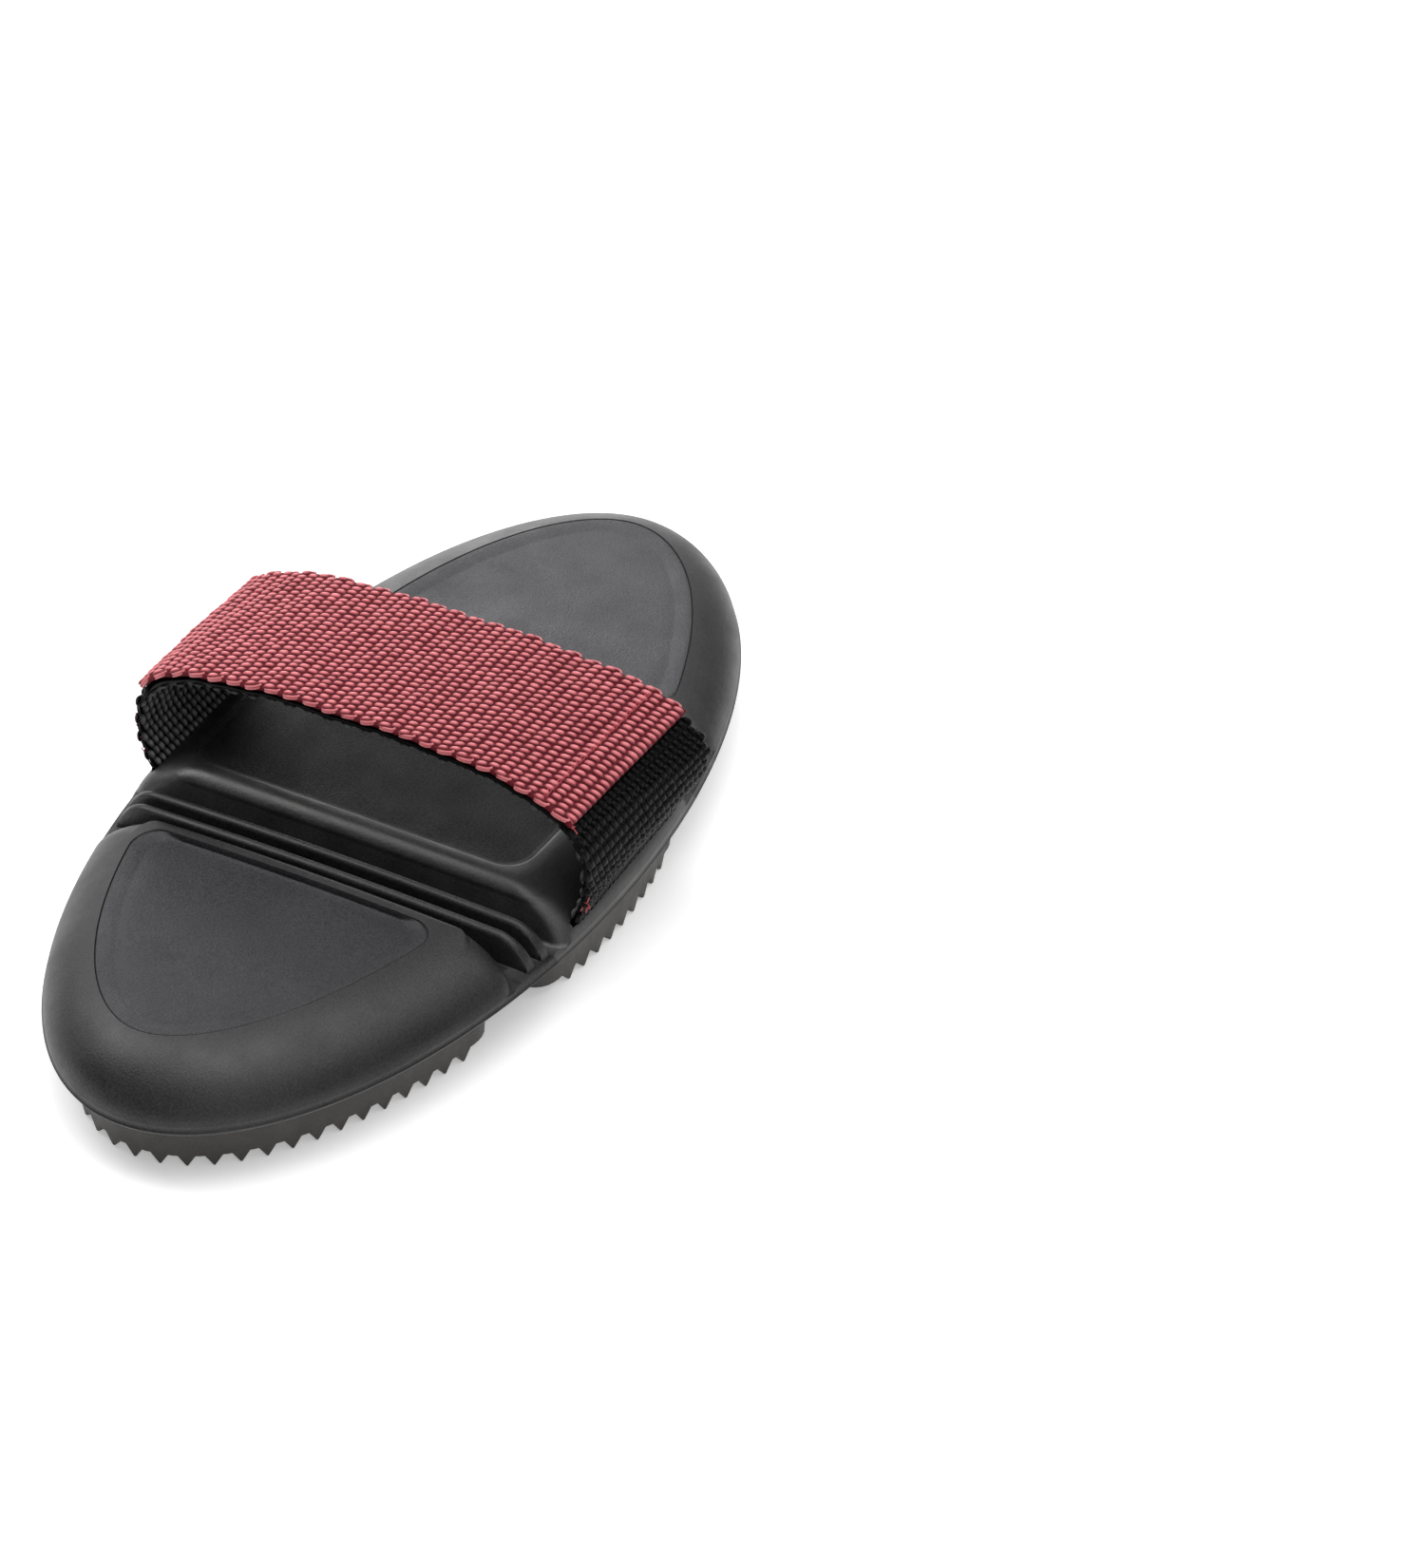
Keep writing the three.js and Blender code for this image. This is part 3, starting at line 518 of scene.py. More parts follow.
def add_ridge(shape, stations, closed):
    """A wall along the stations, flared by its draft and mitred where they turn."""
    stations = np.array(stations)
    here, z = stations[:, :2], stations[:, 2]
    apart = np.linalg.norm(here - np.roll(here, 1, 0), axis=1) > 1e-6
    here, z = here[apart], z[apart]
    before, after = np.roll(here, 1, 0), np.roll(here, -1, 0)
    if not closed:
        before[0] = 2 * here[0] - here[1]
        after[-1] = 2 * here[-1] - here[-2]
    onward = unit(after - here)
    mean = unit(unit(here - before) + onward)
    mitre = 1 / np.maximum(0.5, (mean * onward).sum(1))
    side = np.stack([-mean[:, 1], mean[:, 0]], -1) * mitre[:, None]
    levels = [(wall_half_width(FLOOR) + wider, FLOOR + rise) for wider, rise in RIDGE_FOOT]
    levels.append((wall_half_width(z + RIDGE_EDGE), z + RIDGE_EDGE))
    levels.append((wall_half_width(z) - RIDGE_EDGE * 0.9, z))
    columns = []
    for sign in (1, -1):
        for width, height in levels[::sign]:
            width, height = (np.broadcast_to(v, len(z))[:, None] for v in (width, height))
            columns.append(np.hstack([here + side * width * sign, height]))
    rings = list(np.stack(columns, 1))
    if closed:
        rings.append(rings[0])
    loft(shape, rings, ends=not closed)


def lobe_ridges(shape):
    base = LOBE_BASE_X
    flip = np.array([1, -1])
    meet = rim_point(rim_angle_at(base, RIDGE_INSET), RIDGE_INSET)
    turn = rim_angle_at(base + OUTER_CORNER, RIDGE_INSET)
    arc_end = rim_point(turn, RIDGE_INSET)
    base_end = np.array([base, meet[1] - OUTER_CORNER])
    outer = toothed_side(rim_run(turn, RIDGE_INSET))
    outer += corner_side(arc_end, meet, base_end)
    outer += toothed_side(bow(base_end, base_end * flip))
    outer += corner_side(base_end * flip, meet * flip, arc_end * flip)
    add_ridge(shape, outer, True)
    add_ridge(shape, toothed_side(rim_run(rim_angle_at(base, SECOND_INSET), SECOND_INSET)), False)
    point = np.array([HALF_LENGTH - LOBE_INNER_APEX_INSET, 0])
    foot = np.array([base, LOBE_INNER_HALF_BASE])
    inner = toothed_side(bow(foot * flip, point, LOBE_INNER_BULGE))
    inner += toothed_side(bow(point, foot, LOBE_INNER_BULGE))
    add_ridge(shape, inner, False)


def rectangle_ridge(shape, x, y, bow_height, corner, long_pitch):
    in_x, in_y = x - corner, y - corner
    half = np.array([(x, -in_y), (x, in_y), (x, y), (in_x, y), (-in_x, y), (-x, y), (-x, in_y)])
    stations = []
    for a, b, c, d, e, f, g in (half, -half):
        stations += toothed_side(bow(a, b), long_pitch) + corner_side(b, c, d)
        stations += toothed_side(bow(d, e, bow_height)) + corner_side(e, f, g)
    add_ridge(shape, stations, True)


def middle_ridges(shape):
    outer_y = MIDDLE_OUTER_Y - MIDDLE_OUTER_BOW
    rectangle_ridge(shape, MIDDLE_OUTER_X, outer_y, MIDDLE_OUTER_BOW, OUTER_CORNER, TOOTH_PITCH)
    rectangle_ridge(shape, MIDDLE_INNER_X, MIDDLE_INNER_Y, 0, INNER_CORNER, FINE_TOOTH_PITCH)
    for y in (CROSS_RIDGE_Y, -CROSS_RIDGE_Y):
        end = np.array([MIDDLE_INNER_X, y])
        add_ridge(shape, toothed_side(bow(end * [-1, 1], end)), False)


def lobe_holes():
    base_x = LOBE_BASE_X + wall_half_width(FLOOR) + HOLE_RADIUS
    channel = RIDGE_INSET + RIDGE_SPACING / 2
    side_x = base_x + 1.5
    side_y = rim_point(rim_angle_at(side_x, channel), channel)[1]
    ridge_y = rim_point(rim_angle_at(base_x, SECOND_INSET), SECOND_INSET)[1]
    end_x = HALF_LENGTH - (SECOND_INSET + LOBE_INNER_APEX_INSET) / 2 - 0.6
    spots = [
        ((base_x + HALF_LENGTH - LOBE_INNER_APEX_INSET) / 2, 0),
        (base_x, LOBE_INNER_HALF_BASE * 0.42),
        (base_x, (ridge_y + LOBE_INNER_HALF_BASE) / 2),
        (end_x, 0),
        (side_x, side_y),
        (HALF_LENGTH - channel - 0.6, RIDGE_INSET),
    ]
    return [(x, side * y) for x, y in spots for side in ((1, -1) if y else (1,))]


def middle_holes():
    channel_x = (MIDDLE_OUTER_X + MIDDLE_INNER_X) / 2
    channel_y = (MIDDLE_OUTER_Y + MIDDLE_INNER_Y) / 2 - 1
    spots = [
        (MIDDLE_INNER_X * 0.44, CROSS_RIDGE_Y * 0.54),
        (MIDDLE_INNER_X * 0.41, channel_y),
        (channel_x, MIDDLE_INNER_Y * 0.74),
    ]
    return [(0, 0)] + [(sx * x, sy * y) for x, y in spots for sx in (1, -1) for sy in (1, -1)]


# Materials

def set_input(socket, value):
    """Gives an input a plain value, or another node's output."""
    if isinstance(value, bpy.types.NodeSocket):
        socket.id_data.links.new(value, socket)
    else:
        socket.default_value = value


def fill_inputs(node, **values):
    for key, value in values.items():
        set_input(node.inputs[key.replace("_", " ")], value)


def new_material(name, color, roughness):
    material = bpy.data.materials.new(name)
    material.use_nodes = True
    shader = material.node_tree.nodes["Principled BSDF"]
    fill_inputs(shader, Base_Color=(*color, 1), Roughness=roughness)
    return material, material.node_tree, shader


def add_node(tree, kind, **values):
    """A node with its settings and inputs, which are given by name."""
    node = tree.nodes.new(kind)
    for key, value in values.items():
        if hasattr(node, key):
            setattr(node, key, value)
        else:
            fill_inputs(node, **{key: value})
    return node


def combine(tree, operation, *values, clamp=False, kind="ShaderNodeMath"):
    """A math node, fed in turn by outputs and plain values."""
    node = add_node(tree, kind, operation=operation)
    if clamp:
        node.use_clamp = True
    for socket, value in zip(node.inputs, values):
        set_input(socket, value)
    return node


def noise(tree, place, scale, detail, rough):
    node = add_node(tree, "ShaderNodeTexNoise", Vector=place, Scale=scale, Detail=detail, Roughness=rough)
    return node.outputs["Fac"]


def ramp(tree, value, low, high, from_low=0.3, from_high=0.7):
    node = add_node(tree, "ShaderNodeMapRange", Value=value, From_Min=from_low, From_Max=from_high)
    fill_inputs(node, To_Min=low, To_Max=high)
    return node.outputs["Result"]


def mix_colors(tree, factor, first, second):
    node = add_node(tree, "ShaderNodeMix", data_type="RGBA", Factor=factor, A=(*first, 1), B=(*second, 1))
    return node.outputs["Result"]


def bump(tree, height, strength, distance, **under):
    node = add_node(tree, "ShaderNodeBump", Height=height, Strength=strength, Distance=distance, **under)
    return node.outputs["Normal"]


# Noise: scale per metre, detail and roughness, of which fine noises share the last two
CLOUDS = (45, 4, 0.6)
SMUDGES = (110, 5, 0.65)
FINE_DETAIL = (3, 0.6)
FIBRE_STRETCH, PATCH_SCALE = (0.6, 9.0, 1.0), 0.35  # per millimetre of webbing
CLOUD_DEPTH, GRAIN_DEPTH, FIBRE_DEPTH = 0.0006, 0.00012, 0.00008


def rubber_material(name, dark, light, smoothest, roughest, grain, relief, shine=0.5, tint=(1, 1, 1)):
    material, tree, shader = new_material(name, dark, smoothest)
    place = tree.nodes.new("ShaderNodeTexCoord").outputs["Object"]
    cloud = noise(tree, place, *CLOUDS)
    fine = noise(tree, place, grain, *FINE_DETAIL)
    smudge = noise(tree, place, *SMUDGES)
    grains, tones = ramp(tree, fine, 0.05, 0.75, 0.4, 0.6), ramp(tree, cloud, -0.1, 0.3)
    speck = combine(tree, "ADD", grains, tones, clamp=True)
    fill_inputs(
        shader,
        Base_Color=mix_colors(tree, speck.outputs[0], dark, light),
        Roughness=ramp(tree, smudge, smoothest, roughest),
        Normal=bump(tree, fine, relief, GRAIN_DEPTH, Normal=bump(tree, cloud, 0.15, CLOUD_DEPTH)),
        Specular_IOR_Level=shine,
        Specular_Tint=(*tint, 1),
    )
    return material


def webbing_material(name, dark, base, light, roughness, sheen, sheen_tint, shine=0.1):
    """Woven yarn, with painted shade low in each grain and a painted highlight on its top. The UV map holds
    millimetres on the strap, and crown the height within a grain.
    """
    material, tree, shader = new_material(name, base, roughness)
    uv = tree.nodes.new("ShaderNodeTexCoord").outputs["UV"]
    stretch = add_node(tree, "ShaderNodeMapping", Vector=uv, Scale=FIBRE_STRETCH)
    fibres = noise(tree, stretch.outputs["Vector"], 1.0, *FINE_DETAIL)
    patches = noise(tree, uv, PATCH_SCALE, *FINE_DETAIL)
    crown = add_node(tree, "ShaderNodeAttribute", attribute_name="crown").outputs["Fac"]
    # crown paints shade low in a grain and a highlight on its top into the colour
    tone = combine(tree, "ADD", ramp(tree, fibres, -0.14, 0.14), ramp(tree, crown, 0.0, 0.95, 0.4, 0.95))
    tone = combine(tree, "ADD", tone.outputs[0], ramp(tree, patches, -0.1, 0.1), clamp=True)
    curve = add_node(tree, "ShaderNodeValToRGB", Fac=tone.outputs[0])
    first, last = curve.color_ramp.elements
    first.color, last.color = (*dark, 1), (*light, 1)
    curve.color_ramp.elements.new(0.5).color = (*base, 1)
    fill_inputs(
        shader,
        Base_Color=curve.outputs["Color"],
        Normal=bump(tree, fibres, 0.5, FIBRE_DEPTH),
        Specular_IOR_Level=shine,
        Sheen_Weight=sheen,
        Sheen_Roughness=0.4,
        Sheen_Tint=(*sheen_tint, 1),
    )
    return material


# Dark and light tone, lowest and highest roughness, scale and strength of the grain
SMOOTH = (0.003, 0.0028, 0.003), (0.021, 0.0205, 0.0215), 0.38, 0.54, 2800, 0.5
GRAINY = (0.001, 0.001, 0.0015), (0.026, 0.026, 0.0285), 0.44, 0.6, 2600, 1.0
# The grained rubber made rougher, for the middle panel.
ROUGHER_GRAINY = (*GRAINY[:2], 0.5, 0.62, 2600, 0.9)
DUSTY = (0.02, 0.0175, 0.0155), (0.03, 0.0265, 0.023), 0.45, 0.65, 2600, 0.35
COOL, WARM = (0.97, 0.96, 1.0), (1.0, 0.98, 0.97)
UNDER = rubber_material("rubber_underside", *DUSTY)


def rubbers(name, satin, grained):
    """Materials in the order of the slots below."""
    return [rubber_material(f"{name}_satin", *satin), rubber_material(f"{name}_grained", *grained), UNDER]


RUBBER = rubbers("rubber", SMOOTH, (*GRAINY, 0.5, COOL))
# Shinier copy for the rear lobe: a painted reflection that brightens it.
REAR_RUBBER = rubbers("rear", (*SMOOTH, 0.8), (*GRAINY, 0.8, COOL))
# The middle's copies: a shinier, warm-tinted satin as painted reflection on its border and edge, and a
# grained panel half as shiny as painted shade under the strap.
MIDDLE_RUBBER = rubbers("middle", (*SMOOTH, 1.0, WARM), (*ROUGHER_GRAINY, 0.25, COOL))
SMOOTH_SLOT, GRAIN_SLOT, UNDER_SLOT = 0, 1, 2

# Shaded, middle and lit tone, which crown spreads as painted shade and highlight, then roughness, sheen
# with its tint, and shine
PALE_ROSE, ROSE, GREY = (1.0, 0.7, 0.72), (1.0, 0.6, 0.6), (0.7, 0.75, 0.75)
PINK = webbing_material(
    "pink_yarn", (0.13, 0.012, 0.019), (0.47, 0.09, 0.107), (0.78, 0.24, 0.255), 0.5, 0.07, PALE_ROSE, 0.4
)
# The facing's ground shows only in the gaps between its grains; its dark tones are painted shade.
PINK_SHADED_GROUND = webbing_material(
    "pink_shaded_ground", (0.09, 0.008, 0.013), (0.15, 0.014, 0.022), (0.22, 0.023, 0.034), 0.7, 0.0, ROSE
)
THREAD = webbing_material(
    "pink_sewing_thread", (0.15, 0.01, 0.016), (0.34, 0.04, 0.055), (0.5, 0.1, 0.115), 0.5, 0.06, ROSE, 0.3
)
BLACK = webbing_material(
    "black_yarn", (0.0005,) * 3, (0.001, 0.0012, 0.0012), (0.003, 0.0035, 0.0034), 0.4, 0.0, GREY, 0.12
)
# Inside of the same black webbing: its grey tones are painted light that reaches under the strap.
LIT_INSIDE_YARN = webbing_material(
    "lit_inside_yarn", (0.045, 0.045, 0.046), (0.14, 0.141, 0.143), (0.3, 0.304, 0.308), 0.6, 0.05, GREY, 0.3
)


# Lobes and middle block

class Block:
    """A lobe or the middle block, built ring by ring from its rim up to its panel."""

    def __init__(self, outline_at, edge_x, into, lip, crown, draft=0.0):
        """into is 1 where the block lies beyond edge_x, and -1 where it lies before it."""
        self.outline_at, self.edge_x, self.into = outline_at, edge_x, into
        self.lip, self.crown, self.draft = lip, crown, draft
        self.rings, self.slots = [], []

    def add(self, outline, z, slot=SMOOTH_SLOT):
        self.rings.append(np.column_stack([outline, np.broadcast_to(z, len(outline))]))
        self.slots.append(slot)

    def top(self, p):
        return back_height(p[:, 0], p[:, 1], self.crown)

    def height(self, p):
        return rounded_back(p, self.top(p), self.into * (np.abs(p[:, 0]) - self.edge_x), self.lip)

    def add_on_back(self, outline, depth=0.0):
        """A ring on the back, or sunk into it, where the rubber is grained."""
        self.add(outline, self.height(outline) - depth, GRAIN_SLOT if depth else SMOOTH_SLOT)

    def add_rim(self, seam_x, flange):
        """The bead and the fillet over it. flange gives the share of the fillet at each x."""
        for inset, z in bead_levels(BEAD_STEPS):
            self.add(self.outline_at(inset, seam_x, SHARP), z)
        foot = self.outline_at(side_inset((GROOVE_FLOOR - PARTING) / RISE), seam_x, SHARP)
        for tuck, drop in FILLET_LEVELS:
            outline = tucked(foot, FLANGE_FILLET * tuck, flange(foot[:, 0]))
            self.add(outline, GROOVE_FLOOR - FLANGE_FILLET * drop)

    def add_wall_foot(self, lift, edge_x, corner):
        inset = side_inset((GROOVE_FLOOR + lift - PARTING) / RISE)
        self.add(self.outline_at(inset, edge_x, corner), GROOVE_FLOOR + lift)

    def add_side(self, steps, last, corner, opening=0.0):
        """The domed side up to the inset last. Returns how far the end wall has come in there."""
        for inset, share in side_levels(steps, side_angle(last)):
            if PARTING + RISE * share < GROOVE_FLOOR + WALL_LEVEL:
                continue
            drop = RISE * (1 - share)
            offset = wall_offset(drop, self.lip, self.draft)
            outline = self.outline_at(inset, self.edge_x + self.into * offset, corner + share * opening)
            level = PARTING + (self.top(outline) - PARTING) * share
            keep = smooth(drop / self.lip / 0.6 - 0.5)
            self.add(outline, level * keep + self.height(outline) * (1 - keep))
        return offset

    def make(self, name, materials, holes):
        shape = Shape()
        loft(shape, self.rings, self.slots, cap=self.rings[-1].mean(0))
        obj = make_object(name, shape, materials)
        fill_floor(obj, holes)
        return obj


def lobe_block(border, shift):
    """Side walls, domed back and sunk panel of the lobe on the +X side."""
    block = Block(lobe_outline, LOBE_EDGE_X, 1, LOBE_LIP, LOBE_CROWN)
    block.add_rim(LOBE_EDGE_X, lambda x: smooth((LOBE_EDGE_X + LOBE_CORNER - x) / 2))
    for lift, _ in WALL_FOOT:
        block.add_wall_foot(lift, LOBE_EDGE_X + 0.05 - lift / 3, LOBE_CORNER)
    last = border - LOBE_SHOULDER
    offset = block.add_side(LOBE_STEPS, last, LOBE_CORNER)
    for share in SHOULDER_SHARES:
        reach = offset + (PANEL_X - LOBE_EDGE_X - offset) * share
        outline = lobe_outline(last + (border - last) * share, LOBE_EDGE_X + reach, LOBE_CORNER)
        block.add_on_back(outline + [0, shift * share])
    add_panel(block, border, [0, shift])
    return block


def add_panel(block, border, aside):
    """The D panel: a fine line round it, a sloping border and a slightly dished floor."""
    panel = lobe_outline(border, PANEL_X, PANEL_CORNER) + aside
    line_in = lobe_outline(border + LINE_WIDTH, PANEL_X + LINE_WIDTH, PANEL_CORNER) + aside
    floor = lobe_outline(border + BEVEL_WIDTH, PANEL_X + BEVEL_BACK_WIDTH, PANEL_CORNER) + aside
    block.add_on_back(panel)
    block.add_on_back((panel + line_in) / 2, LINE_DEPTH + PANEL_STEP)
    block.add_on_back(line_in, PANEL_STEP)
    for share, fall in PANEL_SLOPE:
        outline = line_in + (floor - line_in) * share
        block.add_on_back(outline, PANEL_STEP + (PANEL_DEPTH - PANEL_STEP) * fall)
    inner, centre = outline, outline.mean(0)
    for share in PANEL_SHARES:
        outline = centre + (inner - centre) * share
        block.add_on_back(outline, PANEL_DEPTH + PANEL_DISH * (1 - share**2))


def settle(obj, turn):
    """Shades a piece again, and turns the one that lies at the other end of the brush."""
    if turn:
        obj.data.transform(Matrix.Rotation(math.pi, 4, "Z"))
    soften(obj)


def lobe_object(name, body, turn, border, shift, rubber):
    obj = lobe_block(border, shift).make(name, rubber, lobe_holes())
    join_ridges(obj, lobe_ridges)
    settle(obj, turn)
    finish_piece(obj, "rubber", name.replace("_rubber", ""), body=body)


def join_ridges(obj, add_ridges):
    """Adds the ridges to the body's mesh, and gives the whole underside its own finish."""
    ridges = Shape()
    add_ridges(ridges)
    ridges.slots = [UNDER_SLOT] * len(ridges.faces)
    extra = make_object("ridges", ridges, RUBBER, merge=0.001)
    bm = bmesh.new()
    bm.from_mesh(obj.data)
    for face in bm.faces:
        if face.calc_center_median().z < (FLOOR + 0.05) * MM or face.normal.z < -0.9:
            face.material_index = UNDER_SLOT
    bm.from_mesh(extra.data)
    bm.to_mesh(obj.data)
    bm.free()
    bpy.data.objects.remove(extra)


def finish_piece(obj, slot, *nodes, body="middle"):
    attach(obj, body)
    if nodes:
        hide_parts(*nodes)


def middle_block():
    """Side walls, domed back and sunk panel of the middle."""
    block = Block(middle_outline, MIDDLE_EDGE_X, -1, MIDDLE_LIP, MIDDLE_CROWN, MIDDLE_WALL_DRAFT)
    foot_x = MIDDLE_EDGE_X + MIDDLE_WALL_DRAFT
    block.add_rim(SEAM_X, lambda x: smooth((np.abs(x) - foot_x + 1.2) / 1.2))
    for lift, out in WALL_FOOT:
        block.add_wall_foot(lift, foot_x + out, MIDDLE_CORNER)
    last = MIDDLE_PANEL_BORDER - MIDDLE_SHOULDER
    offset = block.add_side(MIDDLE_STEPS, last, MIDDLE_CORNER, 2)
    for share in (0.3, 0.6):
        edge = MIDDLE_EDGE_X - offset + (MIDDLE_PANEL_X - MIDDLE_EDGE_X + offset) * share
        inset = last + (MIDDLE_PANEL_BORDER - last) * share
        outline = middle_outline(inset, edge, MIDDLE_CORNER + 2 + share)
        block.add_on_back(outline + [0, MIDDLE_PANEL_SHIFT * share])
    aside = np.array([0, MIDDLE_PANEL_SHIFT])
    panel = middle_outline(MIDDLE_PANEL_BORDER, MIDDLE_PANEL_X, MIDDLE_PANEL_CORNER) + aside
    floor_inset = MIDDLE_PANEL_BORDER + MIDDLE_BEVEL
    floor = middle_outline(floor_inset, MIDDLE_PANEL_X - MIDDLE_BEVEL, MIDDLE_PANEL_CORNER - 0.8) + aside
    for share in MIDDLE_SLOPE:
        inner = panel + (floor - panel) * share
        block.add_on_back(inner, MIDDLE_DEPTH * smooth(share / 1.1))
    for share in MIDDLE_SHARES:
        outline = inner * share + aside * (1 - share)
        block.add_on_back(outline, MIDDLE_DEPTH + PANEL_DISH * (1 - share**2))
    return block


def middle_object():
    obj = middle_block().make("middle_block_rubber", MIDDLE_RUBBER, middle_holes())
    cut_slots(obj)
    join_ridges(obj, middle_ridges)
    soften(obj)
    finish_piece(obj, "rubber", "middle_block")


def root_line(sign):
    inset = LEFT_ROOT_INSET if sign > 0 else RIGHT_ROOT_INSET
    root = np.array([sign * (HALF_WIDTH - inset), ROOT_HEIGHT])
    buried = root - [sign * ROOT_LEAN, ROOT_DEPTH]
    return root, buried, unit(root - buried)


def cut_slots(obj):
    """Cuts the two slots in which the strap ends are moulded."""
    shape = Shape()
    for sign in (1, -1):
        root, buried, along = root_line(sign)
        side = np.array([along[1], -along[0]])
        half = WEBBING_THICKNESS / 2 + SLOT_CLEARANCE
        bottom, top = buried - along * 0.3, root + along * 6
        rings = []
        for t in np.linspace(-1, 1, 15):
            reach = side * half * (1 - abs(t) ** 14 * 0.5)
            corners = [bottom - reach, bottom + reach, top + reach, top - reach]
            rings.append(np.array([[t * (HALF_STRAP + 0.5), *c] for c in corners]))
        loft(shape, rings, ends=True)
    cutter = make_object("slot_cutter", shape, RUBBER[:1])
    modifier = obj.modifiers.new("slots", "BOOLEAN")
    modifier.object = cutter
    modifier.operation = "DIFFERENCE"
    modifier.solver = "EXACT"
    graph = bpy.context.evaluated_depsgraph_get()
    graph.update()
    mesh = bpy.data.meshes.new_from_object(obj.evaluated_get(graph))
    obj.modifiers.clear()
    obj.data = mesh
    bpy.data.objects.remove(cutter)


# Bellows

def bellows_stations():
    """Places along X with how far the rib has risen there, from 0 in a groove to 1 on its crest."""
    stations = [(SEAM_X, 0.0)]
    for x in RIB_XS:
        stations += [(x - RIB_RADIUS - out, rise) for out, rise in RIB_FEET]
        for turn in np.linspace(-math.pi / 2, math.pi / 2, 11):
            drop = RIB_RADIUS * (1 - math.cos(turn))
            stations.append((x + RIB_RADIUS * math.sin(turn), 1 - drop / (RIB_TOP - GROOVE_FLOOR)))
        stations += [(x + RIB_RADIUS + out, rise) for out, rise in RIB_FEET[::-1]]
    stations.append((LOBE_EDGE_X, 0.0))
    return stations


def bellows_ring(x, rise):
    """Outline of the bellows across the brush at one place along X."""
    def y_at(inset):
        return rim_point(rim_angle_at(x, inset), inset)[1]

    profile = [(y_at(inset), z) for inset, z in bead_levels(BEAD_STEPS)]
    foot = y_at(side_inset((GROOVE_FLOOR - PARTING) / RISE))
    for tuck, drop in FILLET_LEVELS:
        profile.append((foot - FLANGE_FILLET * tuck, GROOVE_FLOOR - FLANGE_FILLET * drop))
    for angle in np.linspace(0, math.pi / 2, RIB_END_STEPS):
        y = y_at(RIB_END_INSET + RIB_END_ROUNDING * (1 - math.cos(angle) ** (2 / SIDE_FULLNESS)))
        end = PARTING + (rib_crest(y) - PARTING) * math.sin(angle) ** (2 / SIDE_FULLNESS)
        profile.append((y, GROOVE_FLOOR + max(0, end - GROOVE_FLOOR) * rise))
    end_y = profile[-1][0]
    for y in np.linspace(end_y, 0, 16)[1:]:
        profile.append((y, GROOVE_FLOOR + (rib_crest(y) - GROOVE_FLOOR) * rise))
    whole = profile + [(-y, z) for y, z in profile[::-1][1:]]
    return np.array([[x, y, z] for y, z in whole])


def rib_crest(y):
    return RIB_TOP - RIB_CROWN * y * y


def bellows_object(name, turn):
    shape = Shape()
    loft(shape, [bellows_ring(x, rise) for x, rise in bellows_stations()], ends=True)
    obj = make_object(name, shape, RUBBER)
    settle(obj, turn)
    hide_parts(name.replace("_rubber", ""))
    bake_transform(obj)


# Strap

def arch_point(angle, across):
    c, s = np.cos(angle), np.sin(angle)
    right = np.maximum(0, -c)
    spread = ARCH_HALF_WIDTH + right * (RIGHT_SLACK + RIGHT_SKEW * across)
    spring = ARCH_SPRING + right * RIGHT_LIFT * across
    y = np.sign(c) * spread * np.abs(c) ** (2 / ARCH_FULLNESS)
    rise = ARCH_TOP - ARCH_TILT * across - spring
    return np.stack([y, spring + rise * np.abs(s) ** (2 / ARCH_FULLNESS)], -1)


def foot_line(sign, across):
    """From the buried end up to where the arch starts."""
    root, buried, along = root_line(sign)
    spring = arch_point(np.array(0.0 if sign > 0 else math.pi), across)
    reach = (spring[1] - ROOT_HEIGHT) * FOOT_ROUNDING
    a, b, c, d = root, root + along * reach, spring - [0, reach], spring
    t = np.linspace(0, 1, 61)[:-1, None]
    curve = (1 - t) ** 3 * a + 3 * t * (1 - t) ** 2 * b + 3 * t**2 * (1 - t) * c + t**3 * d
    sunk = buried + (root - buried) * np.linspace(0, 1, 21)[:-1, None]
    return np.concatenate([sunk, curve])


def strap_line(across):
    t = np.linspace(0, 1, 1201)
    arch = arch_point(math.pi * (t + np.sin(4 * math.pi * t) * 0.02), across)
    return np.concatenate([foot_line(1, across), arch, foot_line(-1, across)[::-1]])


def line_normals(line):
    along = unit(np.gradient(line, axis=0))
    return np.stack([along[:, 1], -along[:, 0]], -1)


FRONT_LINE, BACK_LINE = strap_line(-1), strap_line(1)
FRONT_NORMALS, BACK_NORMALS = line_normals(FRONT_LINE), line_normals(BACK_LINE)
CENTRE_LINE = (FRONT_LINE + BACK_LINE) / 2
ALONG = run_lengths(CENTRE_LINE)
STRAP_LENGTH = ALONG[-1]
FACING_LOWEST = np.where(CENTRE_LINE[:, 0] > 0, FACING_LEFT_END, FACING_RIGHT_END)
OVER = np.nonzero(CENTRE_LINE[:, 1] >= FACING_LOWEST)[0]
FACING_START, FACING_END = ALONG[OVER[0]], ALONG[OVER[-1]]


def on_strap(s, x, height):
    """Points at a distance s along the strap and x across it, lifted off its centre line."""
    s, x, height = np.broadcast_arrays(s, x, height)
    share = (x / HALF_STRAP + 1)[..., None] / 2

    def between(front, back):
        return point_at(s, ALONG, front) * (1 - share) + point_at(s, ALONG, back) * share

    p, n = between(FRONT_LINE, BACK_LINE), between(FRONT_NORMALS, BACK_NORMALS)
    wave = sum(high * np.sin(s * along + x * across + phase) for high, along, across, phase in WAVES)
    calm = smooth((s - CALM_END) / 10) * smooth((STRAP_LENGTH - CALM_END - s) / 10)
    q = p + unit(n) * (height + wave * calm)[..., None]
    return np.stack([x, q[..., 0], q[..., 1]], -1)


def add_uv(obj, values):
    layer = obj.data.uv_layers.new(name="weave")
    loops = np.zeros(len(obj.data.loops), np.int32)
    obj.data.loops.foreach_get("vertex_index", loops)
    layer.data.foreach_set("uv", np.asarray(values, np.float32)[loops].ravel())


